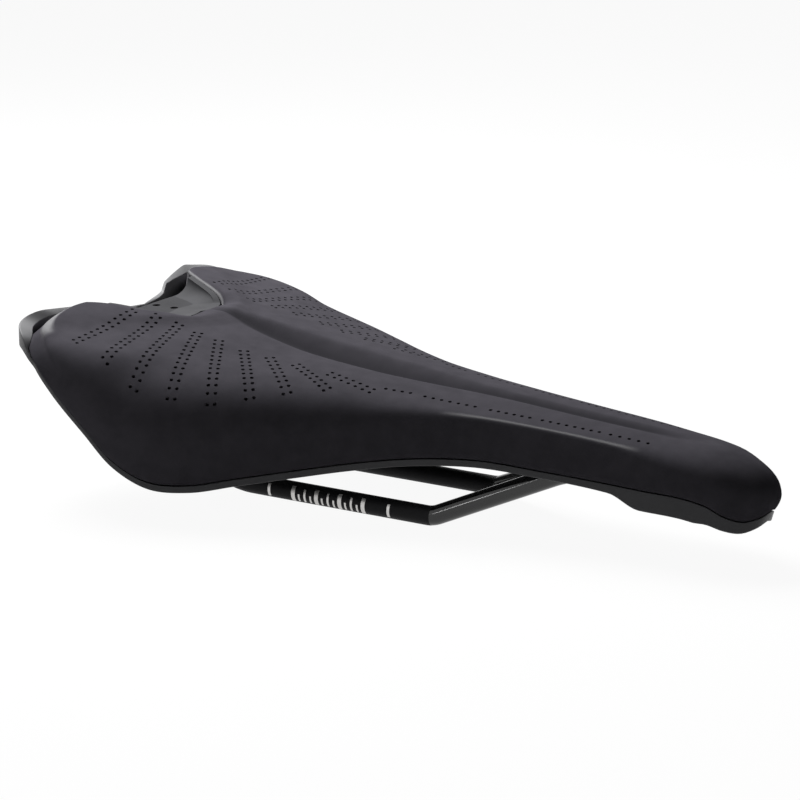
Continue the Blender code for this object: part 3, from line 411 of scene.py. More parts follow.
class Sections:
    """Cross sections of a layer. Arrays run over the places along the hem, then over the stops."""

    def __init__(self, places, layer):
        row = stations_at(places)
        self.row = row
        self.layer = layer
        self.reach = np.hypot(row.hem_x - row.spine, row.hem_y)
        self.ahead = ((row.hem_x - row.spine) / self.reach, row.hem_y / self.reach)
        drop = layer.top + layer.pads * row.pad
        self.edge = self.reach - layer.side
        self.corner = self.edge - row.lean
        self.crown = curve_value(CROWN, 1, row.spine) - drop
        self.shoulder = row.shoulder - drop
        self.height = self.shoulder - row.hem_z + layer.foot
        self.bulge = row.bulge * self.height / (row.shoulder - row.hem_z)
        self.foot = row.hem_z - layer.foot - layer.sink

    def top(self, out):
        """Height and slope of the top, at a distance from the spine."""
        share = out / self.corner
        crest = self.row.crest
        fallen = share * share * (1 + 2 * crest * (1 - share))
        slope = (2 * share + crest * share * (4 - 6 * share)) / self.corner
        drop = self.crown - self.shoulder
        return self.crown - drop * fallen, -drop * slope

    def side(self, share):
        """Distance from the spine and height of the side, at a share of its way down."""
        swell = 4 * self.bulge * share * (1 - share)
        out = self.corner + (self.edge - self.corner) * share + swell
        return out, self.shoulder - self.height * share

    def at(self, stops):
        """Distance from the spine and height, at stops from 0 (spine) to 1 (hem)."""
        stops = stops[None, :]
        row = self.row
        out_a = self.corner - np.minimum(row.round_top, ROUND_LIMIT * self.corner)
        z_a, fall = self.top(out_a)
        share_b = np.minimum(row.round_side / self.height, ROUND_LIMIT)
        out_b, z_b = self.side(share_b)
        top_out = out_a * np.minimum(stops / CORNER_START, 1.0)
        top_z = self.top(top_out)[0]
        k = way(stops, CORNER_START, CORNER_END)
        out_c = np.maximum(out_b - CORNER_PULL * row.lean, 0.5 * (out_a + self.corner))
        z_c = z_a + fall * (out_c - out_a)
        arc_out, arc_z = arc(k, out_a, out_c, out_b), arc(k, z_a, z_c, z_b)
        side_out, side_z = self.side(share_b + (1 - share_b) * way(stops, CORNER_END, 1.0))
        on_top, on_arc = stops <= CORNER_START, stops <= CORNER_END
        out = np.where(on_top, top_out, np.where(on_arc, arc_out, side_out))
        z = np.where(on_top, top_z, np.where(on_arc, arc_z, side_z))
        z -= np.where(on_arc, self.layer.channel * channel_depth(*self.plan(out)), 0.0)
        z -= (1.0 - self.layer.pads) * notch_dip(*self.plan(out))
        out = out - self.layer.slip * np.minimum(stops / CORNER_START, 1.0)
        return out, np.where(stops == 1.0, self.foot, z - self.layer.slip)

    def plan(self, out):
        """X and Y at a distance from the spine, with the section's bow."""
        share = np.minimum(out / self.reach, 1.0)
        bow = BOW_SCALE * self.row.bow * share * (1 - share) ** 3
        return (self.row.spine + self.ahead[0] * out + self.ahead[1] * bow,
                self.ahead[1] * out - self.ahead[0] * bow)

    def points(self, out, z):
        x, y = self.plan(out)
        return np.stack([x, y, z + 0 * x], axis=-1)

    def skin(self, stops=STOPS):
        return self.points(*self.at(stops))


def places_from(first, step, ahead=()):
    """Places along the hem from first to the nose, with some set distances ahead of first."""
    start = first + (ahead[-1] if ahead else 0.0)
    count = math.ceil((NOSE_PLACE - start) / step)
    return np.concatenate([[first + a for a in ahead[:-1]], np.linspace(start, NOSE_PLACE, count + 1)])


def placed(name, data):
    made = bpy.data.objects.new(name, data)
    bpy.context.scene.collection.objects.link(made)
    return made


def new_object(name, mesh, finish):
    made = placed(name, mesh)
    mesh.materials.append(finish)
    return made


def smooth(mesh, angle):
    mesh.shade_smooth()
    mesh.set_sharp_from_angle(angle=math.radians(angle))


def finished(shape, name):
    """The mesh of a bmesh, with its faces turned outwards."""
    bmesh.ops.recalc_face_normals(shape, faces=shape.faces)
    mesh = bpy.data.meshes.new(name)
    shape.to_mesh(mesh)
    shape.free()
    return mesh


def lofted(name, sections, cap_first=False):
    """A closed mesh through half sections that start and end on the centre plane, with both halves."""
    mirrored = sections[:, -2:0:-1] * MIRROR
    rings = np.concatenate([sections, mirrored], axis=1) * MM
    rows, count = rings.shape[:2]
    index = np.arange(rows * count).reshape(rows, count)
    here, there = index[:-1], index[1:]
    faces = np.stack([here, np.roll(here, -1, 1), np.roll(there, -1, 1), there], -1).reshape(-1, 4)
    shape = bmesh.new()
    corners = [shape.verts.new(p) for p in rings.reshape(-1, 3)]
    for face in faces:
        shape.faces.new([corners[i] for i in face])
    if cap_first:  # joins the first section's outer points to the inner ones below them
        half = sections.shape[1] // 2
        for k in range(half - 1):
            for a, b in ((k, k + 1), ((count - k) % count, count - k - 1)):
                mates = (sections.shape[1] - 1 - k, sections.shape[1] - 2 - k)
                if a != k:
                    mates = (sections.shape[1] - 1 + k, sections.shape[1] + k)
                shape.faces.new([corners[i % count] for i in (a, b, mates[1], mates[0])])
    bmesh.ops.remove_doubles(shape, verts=shape.verts, dist=1e-6)
    bmesh.ops.dissolve_degenerate(shape, edges=shape.edges, dist=1e-7)
    return finished(shape, name)


def cut_by(target, cutter):
    """Cuts a closed mesh out of an object and keeps the result."""
    tool = placed("cutter", cutter)
    step = target.modifiers.new("cut", "BOOLEAN")
    step.operation = "DIFFERENCE"
    step.solver = "MANIFOLD"
    step.object = tool
    graph = bpy.context.evaluated_depsgraph_get()
    result = bpy.data.meshes.new_from_object(target.evaluated_get(graph))
    target.modifiers.remove(step)
    old = target.data
    result.name = old.name
    target.data = result
    bpy.data.objects.remove(tool)
    bpy.data.meshes.remove(old)


def turned(shape, profile, sides, middle, axis):
    """Adds a closed turned form to a bmesh, of (height, radius) along an axis through a point."""
    across = axis.orthogonal().normalized()
    other = axis.cross(across)
    rings = []
    for height, radius in profile:
        ring = []
        for i in range(sides):
            angle = 2 * math.pi * i / sides
            out = (across * math.cos(angle) + other * math.sin(angle)) * radius
            ring.append(shape.verts.new((middle + out + axis * height) * MM))
        rings.append(ring)
    for low, high in zip(rings, rings[1:]):
        for i in range(sides):
            j = (i + 1) % sides
            shape.faces.new((low[i], low[j], high[j], high[i]))
    shape.faces.new(rings[0][::-1])
    shape.faces.new(rings[-1])


def block(shape, low, high):
    """Adds a box between two corners to a bmesh."""
    made = bmesh.ops.create_cube(shape, size=1.0)["verts"]
    for vertex in made:
        vertex.co = Vector([(a + b) / 2 + c * (b - a) for a, b, c in zip(low, high, vertex.co)]) * MM


def ringed(shape, rings):
    """Adds a closed form through rings of points, in metres, with its ends filled."""
    rows = [[shape.verts.new(p) for p in ring] for ring in rings]
    for here, there in zip(rows, rows[1:]):
        for i in range(len(here)):
            j = (i + 1) % len(here)
            shape.faces.new((here[i], here[j], there[j], there[i]))
    shape.faces.new(rows[0][::-1])
    shape.faces.new(rows[-1])


# Materials

def new_material(name):
    made = bpy.data.materials.new(name)
    made.use_nodes = True
    return made, made.node_tree, made.node_tree.nodes["Principled BSDF"]


def add_node(tree, kind, **inputs):
    made = tree.nodes.new(kind)
    for name, value in inputs.items():
        made.inputs[name.replace("_", " ")].default_value = value
    return made


def combined(tree, operation, first, second):
    """A maths operation on a value and another value or a number."""
    made = tree.nodes.new("ShaderNodeMath")
    made.operation = operation
    for socket, value in zip(made.inputs, (first, second)):
        if isinstance(value, float):
            socket.default_value = value
        else:
            tree.links.new(value, socket)
    return made.outputs["Value"]


def tinted(tree, share, plain, colour):
    """A plain colour that turns into another one, by a share."""
    blend = tree.nodes.new("ShaderNodeMix")
    blend.data_type = "RGBA"
    tree.links.new(share, blend.inputs["Factor"])
    tree.links.new(plain, blend.inputs["A"])
    blend.inputs["B"].default_value = (*colour, 1.0)
    return blend.outputs["Result"]


def grain(tree, scale, detail=3.0):
    """A noise over the object's own place, with its features about 1 / scale metres wide."""
    place = tree.nodes.new("ShaderNodeTexCoord").outputs["Object"]
    noise = add_node(tree, "ShaderNodeTexNoise", Scale=scale, Detail=detail)
    tree.links.new(place, noise.inputs["Vector"])
    return noise.outputs["Fac"]


def ramp(tree, source, stops):
    """Colours or greys along a value, as (place, colour) stops."""
    made = tree.nodes.new("ShaderNodeValToRGB")
    elements = made.color_ramp.elements
    while len(elements) < len(stops):
        elements.new(0.5)
    for element, (at, colour) in zip(elements, stops):
        element.position = at
        element.color = (*colour, 1.0) if len(colour) == 3 else (colour[0],) * 3 + (1.0,)
    tree.links.new(source, made.inputs["Fac"])
    return made.outputs["Color"]


def bump(tree, shader, source, strength, distance):
    made = add_node(tree, "ShaderNodeBump", Strength=strength, Distance=distance)
    tree.links.new(source, made.inputs["Height"])
    tree.links.new(made.outputs["Normal"], shader.inputs["Normal"])


def speckled(name, dark, light, rough, scale, bump_depth, metallic=0.0, specular=0.5, coarse=90.0):
    """A finish whose colour and roughness drift over the surface, with a fine raised grain.

    Scale and coarse are in features to the metre, and bump_depth is in metres.
    """
    made, tree, shader = new_material(name)
    colour = ramp(tree, grain(tree, coarse, COARSE_DETAIL), [(NOISE_LOW, dark), (NOISE_HIGH, light)])
    tree.links.new(colour, shader.inputs["Base Color"])
    fine = grain(tree, scale, FINE_DETAIL)
    gloss = ramp(tree, fine, [(NOISE_LOW, (rough[0],)), (NOISE_HIGH, (rough[1],))])
    tree.links.new(gloss, shader.inputs["Roughness"])
    bump(tree, shader, fine, GRAIN_STRENGTH, bump_depth)
    shader.inputs["Metallic"].default_value = metallic
    shader.inputs["Specular IOR Level"].default_value = specular
    return made


def zoned(made, axis, start, end, rough, specular, colour=None):
    """Changes a finish along an axis, from start to end in millimetres."""
    tree = made.node_tree
    shader = tree.nodes["Principled BSDF"]
    place = tree.nodes.new("ShaderNodeSeparateXYZ")
    tree.links.new(tree.nodes.new("ShaderNodeTexCoord").outputs["Object"], place.inputs["Vector"])
    zone = add_node(tree, "ShaderNodeMapRange", From_Min=start * MM, From_Max=end * MM)
    tree.links.new(place.outputs[axis], zone.inputs["Value"])
    for name, value in (("Roughness", rough), ("Specular IOR Level", specular)):
        socket = shader.inputs[name]
        blend = add_node(tree, "ShaderNodeMapRange", To_Min=socket.default_value, To_Max=value)
        if socket.links:
            tree.links.new(socket.links[0].from_socket, blend.inputs["To Min"])
        tree.links.new(zone.outputs["Result"], blend.inputs["Value"])
        tree.links.new(blend.outputs["Result"], socket)
    if colour:
        plain = shader.inputs["Base Color"].links[0].from_socket
        mixed = tinted(tree, zone.outputs["Result"], plain, colour)
        tree.links.new(mixed, shader.inputs["Base Color"])


def microfibre():
    """Matte black microfibre with a fine nap, with painted highlights along its edges and painted
    shade in its central channel.
    """
    made = speckled("microfibre", (0.066, 0.063, 0.073), (0.080, 0.076, 0.088), (0.62, 0.78),
                    2400.0, 0.00006, specular=0.0, coarse=160.0)
    tree = made.node_tree
    shader = tree.nodes["Principled BSDF"]
    plain = shader.inputs["Base Color"].links[0].from_socket
    # painted shade in the channel and a painted highlight on the edges, read from the cover's marks
    for attribute, colour, gloss in (("groove_shade", GROOVE_SHADE_COLOUR, None), ("painted_highlight", HIGHLIGHT_COLOUR, HIGHLIGHT_GLOSS)):
        place = tree.nodes.new("ShaderNodeAttribute")
        place.attribute_name = attribute
        plain = tinted(tree, place.outputs["Fac"], plain, colour)
        if gloss:
            level = add_node(tree, "ShaderNodeMapRange", To_Min=0.0, To_Max=gloss)
            tree.links.new(place.outputs["Fac"], level.inputs["Value"])
            tree.links.new(level.outputs["Result"], shader.inputs["Specular IOR Level"])
    tree.links.new(plain, shader.inputs["Base Color"])
    return made


# Pieces

def notch_bevelled(points):
    """Slopes the skin down to the edge along the first section, and rounds that edge."""
    along = np.gradient(points[0], axis=0)
    along /= np.linalg.norm(along, axis=1, keepdims=True)
    offset = points - points[0]
    offset -= (offset * along).sum(-1, keepdims=True) * along
    away = np.linalg.norm(offset, axis=-1)
    near = np.minimum(away, NOTCH_ROUND)
    fall = NOTCH_ROUND - np.sqrt(NOTCH_ROUND ** 2 - (NOTCH_ROUND - near) ** 2)
    fall += NOTCH_SLOPE * np.maximum(NOTCH_BEVEL - away, 0.0)
    normal = np.cross(np.gradient(points, axis=1), np.gradient(points, axis=0))
    normal /= np.maximum(np.linalg.norm(normal, axis=-1, keepdims=True), 1e-9)
    normal *= np.sign(normal[:, :1, 2:3])
    return points - fall[..., None] * normal


def crested(skin):
    """The skin's points with a bevel outside the lobes' crest, and how much painted highlight each
    gets there.
    """
    out, z = skin.at(STOPS)
    row = skin.row
    beyond = np.clip((out - skin.corner + CREST_WIDTH) / CREST_WIDTH, 0.0, 1.0)
    height = way(z, row.hem_z, skin.shoulder)
    bevel = beyond * height * way(row.crest, CREST_LEAST, CREST_FULL)
    high = np.clip((height - CREST_HIGHLIGHT_HEIGHT) / CREST_HIGHLIGHT_FADE, 0.0, 1.0)
    highlighted = np.clip(CREST_HIGHLIGHT * bevel, 0.0, 1.0) * high
    return skin.points(out, z - CREST_FALL * bevel), highlighted


def mark_painted_light(cover, skin, outer, crest_highlight):
    """Marks the painted highlight along the cover's edges, and the painted shade by how deep it is in
    the channel.
    """
    # painted highlight on sharp shoulders, on the crest's bevel and round the notch's rim
    sharp = np.clip((HIGHLIGHT_RADIUS - skin.row.round_top) / HIGHLIGHT_FADE, 0.0, 1.0) * (skin.row.crest == 0)
    shoulder = sharp * np.exp(-((STOPS[None, :] - HIGHLIGHT_STOP) / HIGHLIGHT_WIDTH) ** 2)
    edge = np.linalg.norm(outer - outer[0], axis=-1)
    rim = np.clip((NOTCH_BEVEL - edge) / NOTCH_HIGHLIGHT_FADE, 0.0, 1.0)
    weight = np.maximum(np.maximum(shoulder, crest_highlight), rim).ravel()
    x, y = outer[..., 0], outer[..., 1]
    # painted shade, by the channel's depth against its deepest
    groove_shade = (channel_depth(x, y) / np.maximum(curve_value(CHANNEL, 2, x), CHANNEL_SHALLOW)).ravel()
    tree = KDTree(len(weight))
    for i, place in enumerate(outer.reshape(-1, 3)):
        tree.insert(place, i)
    tree.balance()
    highlighted, groove_shaded = [], []
    for vertex in cover.data.vertices:
        place = vertex.co / MM
        _, i, away = tree.find(Vector((place.x, abs(place.y), place.z)))
        highlighted.append(weight[i] * max(0.0, 1.0 - away / HIGHLIGHT_DEPTH))
        groove_shaded.append(groove_shade[i])
    for name, values in (("painted_highlight", highlighted), ("groove_shade", groove_shaded)):
        cover.data.attributes.new(name, "FLOAT", "POINT").data.foreach_set("value", values)


def make_cover(finish):
    """The moulded skin, with a rolled hem, a rounded notch and its perforations."""
    places = places_from(NOTCH_PLACE, STATION_STEP, NOTCH_ROWS)
    skin = Sections(places, SKIN)
    outer, crest_highlight = crested(skin)
    outer = notch_bevelled(outer)
    inner = Sections(places, COVER_INSIDE).skin()
    deep = Sections(places, FOAM_INSIDE).skin()
    inner[:NOTCH_DEEP_ROWS] = deep[:NOTCH_DEEP_ROWS]
    turn = np.linspace(0.0, math.pi, HEM_STEPS)[None, 1:-1]
    roll_out = skin.reach - HEM_ROLL + HEM_ROLL * np.cos(turn)
    roll = skin.points(roll_out, skin.row.hem_z + HEM_ROLL - HEM_ROLL * np.sin(turn))
    body = np.concatenate([outer, roll, inner[:, ::-1]], axis=1)
    wall = []
    for share in NOTCH_WALL_SHARES:
        front = outer[0] * (1 - share) + inner[0] * share
        low_roll = roll[0] * (1 - share) + inner[0, -1] * share
        wall.append(np.concatenate([front, low_roll, inner[0, ::-1]]))
    cover = new_object("cover_skin", lofted("cover_skin", np.concatenate([wall, body])), finish)
    cut_by(cover, perforation_cutter(outer))
    mark_painted_light(cover, skin, outer, crest_highlight)
    smooth(cover.data, MOULDED_SHARP)
    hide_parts("cover")
    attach(cover, "root")


def perforation_cutter(outer):
    """All the perforations as one mesh of short countersunk plugs, square to the surface."""
    rows, count = outer.shape[:2]
    index = np.arange(rows * count).reshape(rows, count)
    faces = np.stack([index[:-1, :-1], index[:-1, 1:], index[1:, 1:], index[1:, :-1]], -1)
    corners = [Vector(p) for p in outer.reshape(-1, 3)]
    tree = BVHTree.FromPolygons(corners, faces.reshape(-1, 4).tolist())

    def drop(x, y):
        """Place and normal of the skin at a point in plan."""
        return tree.ray_cast(Vector((x, y, ABOVE_ALL)), -UP)[:2]

    lines = []
    for start, end, stagger in RAYS:
        along = (Vector(end) - Vector(start)).normalized()
        across = Vector((along.y, -along.x)) * HOLE_ROW_GAP / 2
        lines.append((Vector(start) - across, Vector(end) - across, 0.0))
        lines.append((Vector(start) + across, Vector(end) + across, stagger))
    lines += [(Vector(start), Vector(end), 0.0) for start, end in NOSE_ROWS]
    profile = [(height, share * HOLE_RADIUS) for height, share in HOLE_PROFILE]
    shape = bmesh.new()
    for start, end, stagger in lines:
        length = (drop(*start)[0] - drop(*end)[0]).length
        count = round(length / HOLE_PITCH)
        for i in range(count + 1):
            spot, normal = drop(*start.lerp(end, (i + stagger) / count))
            if normal.z < 0:
                normal = -normal
            for side in (1, -1):
                turned(shape, profile, HOLE_SIDES, Vector((spot.x, side * spot.y, spot.z)),
                       Vector((normal.x, side * normal.y, normal.z)))
    return finished(shape, "perforations")


def make_foam(finish):
    """The padding under the cover, which shows only through the perforations."""
    places = places_from(NOTCH_PLACE + NOTCH_WALL + 2 * CLEARANCE, FOAM_STEP)
    stops = STOPS[::2]
    outer = Sections(places, FOAM_OUTSIDE).skin(stops)
    inner = Sections(places, FOAM_INSIDE).skin(stops)
    mesh = lofted("foam_core", np.concatenate([outer, inner[:, ::-1]], axis=1), cap_first=True)
    foam = new_object("foam_core", mesh, finish)
    smooth(mesh, PLAIN_SHARP)
    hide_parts("foam_padding")
    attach(foam, "root")


def filleted(corners, steps=5):
    """Rounds the inner corners of polylines, given as (out, z, radius) columns."""
    outs, heights = [corners[0][0]], [corners[0][1]]
    k = np.linspace(0.0, 1.0, steps)[None, :]
    for before, corner, after in zip(corners, corners[1:], corners[2:]):
        ends = []
        for other in (before, after):
            run, rise = other[0] - corner[0], other[1] - corner[1]
            length = np.maximum(np.hypot(run, rise), 1e-6)
            share = np.minimum(corner[2] / length, FILLET_SHARE)
            ends.append((corner[0] + run * share, corner[1] + rise * share))
        (a, za), (b, zb) = ends
        outs.append(arc(k, a, corner[0], b))
        heights.append(arc(k, za, corner[1], zb))
    outs.append(corners[-1][0])
    heights.append(corners[-1][1])
    return np.concatenate(outs, axis=1), np.concatenate(heights, axis=1)


def make_shell(finish):
    """The base shell with its strip and its upturned lip, all edges rounded."""
    places = places_from(0.0, STATION_STEP)
    outside, inside = Sections(places, SHELL_OUTSIDE), Sections(places, SHELL_INSIDE)
    row = outside.row
    seat, under = outside.foot, inside.foot
    outer = outside.reach - STRIP_INSET + row.lip
    lip_foot = outer - np.clip(row.lip - STRIP_INSET - 2 * CLEARANCE, LIP_LEAST, LIP_WALL)
    lip_top = seat + row.rise
    clear = np.maximum(lip_foot - outside.reach - CLEARANCE, 0.0)
    beyond = places[:, None] >= NOTCH_PLACE
    lip_top = np.where(beyond, np.minimum(lip_top, seat + LIP_STEEPNESS * clear), lip_top)
    bevel = np.minimum(LIP_BEVEL, LIP_BEVEL_SHARE * (lip_top - seat))
    rise_share = bevel / LIP_BEVEL
    foot = np.minimum(row.hem_z - row.strip, under - STRIP_LEAST)
    on_lobe = way(places[:, None], LOBE_PLACE, NOTCH_PLACE)
    brim = np.maximum(lip_top - bevel - LIP_FALL * on_lobe, seat + LIP_BRIM_SHARE * (lip_top - seat))
    leant = row.lean * (brim - seat) / (row.shoulder - row.hem_z)
    reach_in = on_lobe * np.clip(leant + lip_foot - outside.reach - LIP_CLEAR, 0.0, LIP_REACH)
    drafted = outer - STRIP_DRAFT * way(row.spine, *STRIP_DRAFT_X)
    edge_out, edge_z = filleted([
        (outside.edge - CLEARANCE, seat),
        (lip_foot, seat, LIP_FOOT_FILLET),
        (lip_foot + LIP_DRAFT * rise_share - reach_in, brim, LIP_FILLET),
        (outer - LIP_CHAMFER[0], lip_top, LIP_FILLET),
        (outer, lip_top - LIP_CHAMFER[1] * rise_share, LIP_FILLET),
        (drafted, foot, STRIP_FILLETS[0]),
        (drafted - STRIP_WALL, foot, STRIP_FILLETS[1]),
        (drafted - STRIP_WALL, under, STRIP_FILLETS[2]),
        (inside.edge, under)])
    edge = outside.points(edge_out[:, 1:-1], edge_z[:, 1:-1])
    section = np.concatenate([outside.skin(), edge, inside.skin()[:, ::-1]], axis=1)
    shell = new_object("shell_moulding", lofted("shell_moulding", section), finish)
    cut_by(shell, shell_cutter())
    smooth(shell.data, MOULDED_SHARP)
    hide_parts("base_shell")
    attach(shell, "root")


def shell_cutter():
    """Room in the shell for the screws' heads and for the accessory pad."""
    shape = bmesh.new()
    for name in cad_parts:
        if "screw" in name:
            low, high = (Vector(corner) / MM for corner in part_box(name))
            radius = (high.x - low.x) / 2 + CLEARANCE
            profile = [(low.z - high.z - SCREW_ROOM, radius), (SCREW_ROOM, radius)]
            middle = Vector(((low.x + high.x) / 2, (low.y + high.y) / 2, high.z))
            turned(shape, profile, SCREW_SIDES, middle, UP)
    front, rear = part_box("accessory_thread_front"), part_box("accessory_thread_rear")
    room = PAD_WALL + 2 * CLEARANCE
    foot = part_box("tail_insert")[0][2] / MM
    half = PAD_WIDTH / 2 + CLEARANCE
    block(shape, (rear[0][0] / MM - room, -half, foot + PAD_ROOM[0]),
          (front[1][0] / MM + room, half, foot + PAD_ROOM[1]))
    return finished(shape, "shell_cutter")


def make_lining(finish):
    """The insert's hollow edge, which sweeps from the cover's edge down to its floor."""
    rim = Sections(np.array([NOTCH_PLACE]), SKIN).skin()[0]
    low, high = (np.array(corner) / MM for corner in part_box("tail_insert"))
    rim = rim[rim[:, 0] > low[0] - LINING_SWEEP]
    along = np.gradient(rim[:, :2], axis=0)
    along /= np.linalg.norm(along, axis=1, keepdims=True)
    along[0] = (0.0, 1.0)
    inward = np.stack([-along[:, 1], along[:, 0]], axis=1)[:, None, :]
    floor = high[2] + LINING_PROUD
    drop = LINING_DROP * np.maximum(way(rim[:, 1:2], *LINING_DROP_Y), LINING_DROP_SHARE)
    top = np.maximum(rim[:, 2:] - drop, floor + LINING_LEAST)
    turn = np.linspace(0.0, math.pi / 2, LINING_STEPS)
    sweep = LINING_GAP + LINING_LEDGE + LINING_SWEEP * (1 - np.cos(turn))
    across = np.concatenate([[LINING_GAP], sweep, [LINING_GAP]])
    heights = np.concatenate([top, top - (top - floor) * np.sin(turn), 0 * top + floor], axis=1)
    flat = rim[:, None, :2] + inward * across[None, :, None]
    left = np.concatenate([flat, heights[..., None]], axis=2) * MM
    right = left[1:] * MIRROR
    shape = bmesh.new()
    ringed(shape, np.concatenate([left[::-1], right]))
    lining = new_object("notch_lining", finished(shape, "notch_lining"), finish)
    rear = bmesh.new()
    length, half = REAR_CUT
    block(rear, (low[0] - length, -half, floor + REAR_CUT_Z[0]),
          (low[0] + CLEARANCE, half, floor + REAR_CUT_Z[1]))
    cut_by(lining, finished(rear, "rear_cutter"))
    smooth(lining.data, PLAIN_SHARP)
    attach(lining, "root")


def rail_path(side):
    """Axis of a rail from tail to nose, with its corners rounded."""
    corners = [Vector((x, side * y, z)) for x, y, z, _ in RAIL_CORNERS]
    path = [corners[0]]
    for before, corner, after, spec in zip(corners, corners[1:], corners[2:], RAIL_CORNERS[1:]):
        back, ahead = (before - corner).normalized(), (after - corner).normalized()
        turn = math.pi - back.angle(ahead)
        trim = spec[3] * math.tan(turn / 2)
        middle = corner + (back + ahead).normalized() * spec[3] / math.cos(turn / 2)
        start, end = corner + back * trim - middle, corner + ahead * trim - middle
        axis = start.cross(end).normalized()
        count = max(3, math.ceil(math.degrees(turn) / BEND_STEP))
        for i in range(count + 1):
            angle = turn * i / count
            path.append(middle + start * math.cos(angle) + axis.cross(start) * math.sin(angle))
    return path + [corners[-1]]


def make_rail(side, finish, mark_finish):
    """A round rod, and the marks of the scale on its outer side."""
    path = rail_path(side)
    rings = []
    across = UP
    turns = [2 * math.pi * k / RAIL_SIDES for k in range(RAIL_SIDES)]
    for i, middle in enumerate(path):
        ahead = (path[min(i + 1, len(path) - 1)] - path[max(i - 1, 0)]).normalized()
        across = (across - ahead * across.dot(ahead)).normalized()
        other = ahead.cross(across)
        rings.append([(middle + (across * math.cos(a) + other * math.sin(a)) * RAIL_RADIUS) * MM
                      for a in turns])
    shape = bmesh.new()
    ringed(shape, rings)
    word = "left" if side > 0 else "right"
    rod = new_object(f"{word}_rod", finished(shape, f"{word}_rod"), finish)
    smooth(rod.data, ROD_SHARP)
    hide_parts(f"{word}_rail")
    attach(rod, "root")

    shape = bmesh.new()
    marks = [(x, *END_MARK) for x in SCALE_END_MARKS]
    for i in range(SCALE_COUNT):
        marks.append((SCALE_START + SCALE_STEP * i, *SCALE_MARKS[i % len(SCALE_MARKS)]))
    axis_y = side * RAIL_CORNERS[1][1]
    for x, width, upper, lower in marks:
        rings = []
        for angle in np.radians(np.linspace(upper, lower, MARK_STEPS)):
            ring = []
            for out, end in ((MARK_PROUD, 1), (MARK_PROUD, -1), (-MARK_SINK, -1), (-MARK_SINK, 1)):
                reach = RAIL_RADIUS + out
                ring.append(Vector((x + end * width / 2, axis_y + side * reach * math.cos(angle),
                                    reach * math.sin(angle))) * MM)
            rings.append(ring)
        ringed(shape, rings)
    scale = new_object(f"{word}_scale", finished(shape, f"{word}_scale"), mark_finish)
    smooth(scale.data, PLAIN_SHARP)
    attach(scale, "root")


# Camera, floor, surroundings and lights

def seen_rays(tree):
    """1 for rays that see the background, straight or in gloss or through glass, and otherwise 0."""
    path = tree.nodes.new("ShaderNodeLightPath")
    seen = path.outputs["Is Camera Ray"]
    for kind in ("Is Glossy Ray", "Is Transmission Ray"):
        seen = combined(tree, "MAXIMUM", seen, path.outputs[kind])
    return seen


def make_floor():
    """A pale floor that reads white to the eye and in gloss, and keeps part of its shadow."""
    made, tree, shader = new_material("pale_floor")
    tint = ramp(tree, grain(tree, FLOOR_GRAIN), list(zip((NOISE_LOW, NOISE_HIGH), FLOOR_TINTS)))
    tree.links.new(tint, shader.inputs["Base Color"])
    shader.inputs["Roughness"].default_value = FLOOR_ROUGHNESS
    glow = add_node(tree, "ShaderNodeEmission", Strength=FLOOR_GLOW)
    share = combined(tree, "MULTIPLY", seen_rays(tree), FLOOR_GLOW_SHARE)
    mix = tree.nodes.new("ShaderNodeMixShader")
    tree.links.new(share, mix.inputs["Fac"])
    tree.links.new(shader.outputs["BSDF"], mix.inputs[1])
    tree.links.new(glow.outputs["Emission"], mix.inputs[2])
    tree.links.new(mix.outputs["Shader"], tree.nodes["Material Output"].inputs["Surface"])
    shape = bmesh.new()
    bmesh.ops.create_grid(shape, x_segments=2, y_segments=2, size=FLOOR_HALF)
    mesh = bpy.data.meshes.new("floor")
    shape.to_mesh(mesh)
    shape.free()
    floor = new_object("floor", mesh, made)
    floor.location.z = CAD_BOX[0][2] - FLOOR_GAP


def make_world():
    """White surroundings, to the eye and in gloss, that give hardly any light."""
    world = bpy.data.worlds.new("studio")
    bpy.context.scene.world = world
    world.use_nodes = True
    tree = world.node_tree
    back = tree.nodes["Background"]
    back.inputs["Color"].default_value = (1.0, 1.0, 1.0, 1.0)
    level = combined(tree, "MAXIMUM", seen_rays(tree), AMBIENT)
    tree.links.new(level, back.inputs["Strength"])


def area_light(name, at, size, power, aim):
    lamp = bpy.data.lights.new(name, "AREA")
    lamp.shape = "RECTANGLE"
    lamp.size, lamp.size_y = size
    lamp.energy = power
    made = placed(name, lamp)
    made.location = Vector(at) * MM
    made.rotation_euler = (Vector(at) - Vector(aim)).to_track_quat("Z", "Y").to_euler()


def make_camera():
    data = bpy.data.cameras.new("camera")
    data.sensor_width = SENSOR
    data.lens = FOCAL * SENSOR / IMAGE_SIZE
    camera = placed("camera", data)
    turn, rise = math.radians(CAMERA_AZIMUTH), math.radians(CAMERA_ELEVATION)
    back = Vector((math.sin(turn) * math.cos(rise), -math.cos(turn) * math.cos(rise), math.sin(rise)))
    camera.location = (Vector(CAMERA_AIM) + back * CAMERA_DISTANCE) * MM
    camera.rotation_euler = back.to_track_quat("Z", "Y").to_euler()
    bpy.context.scene.camera = camera


def dress_node(name, finish):
    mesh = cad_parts[name].data
    mesh.materials.clear()
    mesh.materials.append(finish)


make_camera()
make_world()
make_floor()
for light in LIGHTS:
    area_light(*light)

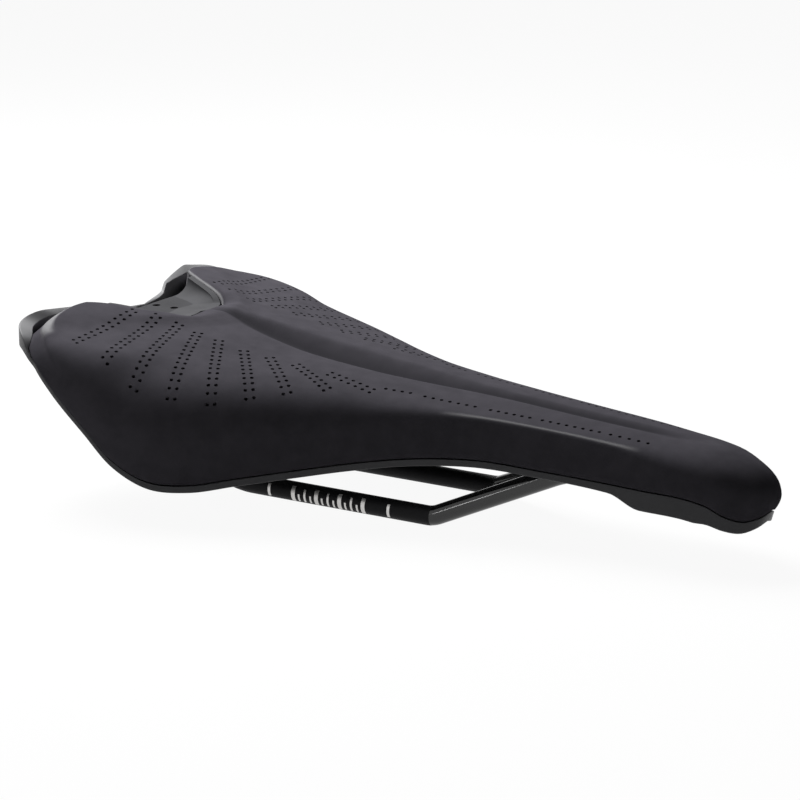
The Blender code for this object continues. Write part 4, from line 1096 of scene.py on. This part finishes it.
# Finishes: dark and light colour, roughness, fine grain to the metre and its depth in metres
SOCKET = speckled("glass_filled_nylon", (0.018, 0.018, 0.019), (0.03, 0.03, 0.032), (0.45, 0.65),
                  1800.0, 0.00005, specular=0.15)
INSERT = speckled("satin_grey", (0.048, 0.048, 0.051), (0.058, 0.058, 0.062), (0.6, 0.7),
                  2600.0, 0.00002, specular=0.01)
# a lighter copy of the insert's grey: painted light on the lining, which is the same plastic
LIT_LINING = speckled("painted_light_satin_grey", (0.07, 0.07, 0.074), (0.084, 0.084, 0.089), (0.6, 0.7),
                  2600.0, 0.00002, specular=0.01)
RAIL = speckled("black_rail", (0.012, 0.012, 0.013), (0.02, 0.02, 0.022), (0.5, 0.6),
                1800.0, 0.00001, specular=0.12)
zoned(RAIL, "X", *RAIL_POLISH_X, rough=0.1, specular=0.55)
STEEL = speckled("zinc_steel", (0.5, 0.5, 0.51), (0.6, 0.6, 0.61), (0.25, 0.4),
                 1500.0, 0.00002, metallic=1.0)
BRASS = speckled("brass", (0.55, 0.4, 0.17), (0.66, 0.5, 0.24), (0.25, 0.4),
                 1500.0, 0.00002, metallic=1.0)
ETCHED = speckled("etched_metal", (0.5, 0.49, 0.48), (0.6, 0.59, 0.58), (0.4, 0.5),
                  1800.0, 0.00002, metallic=1.0)
FOAM = speckled("foam", (0.02, 0.02, 0.021), (0.035, 0.035, 0.037), (0.85, 0.95), 900.0, 0.0003)
SHELL = speckled("satin_shell", (0.05, 0.05, 0.053), (0.062, 0.062, 0.066), (0.36, 0.48),
                 2600.0, 0.00003, specular=0.2)
# the lip's top is painted paler, as a painted reflection, and gets its own roughness and gloss
zoned(SHELL, "Z", *LIP_HIGHLIGHT_Z, rough=0.5, specular=0.2, colour=(0.2, 0.2, 0.206))

make_cover(microfibre())
make_foam(FOAM)
make_shell(SHELL)
for side in (1, -1):
    make_rail(side, RAIL, ETCHED)
make_lining(LIT_LINING)

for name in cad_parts:
    if "screw" in name:
        dress_node(name, STEEL)
    elif "thread" in name:
        dress_node(name, BRASS)
    elif "socket" in name or "clamp" in name:
        dress_node(name, SOCKET)
    elif name == "tail_insert":
        dress_node(name, INSERT)

bpy.context.scene.view_settings.view_transform = "Standard"
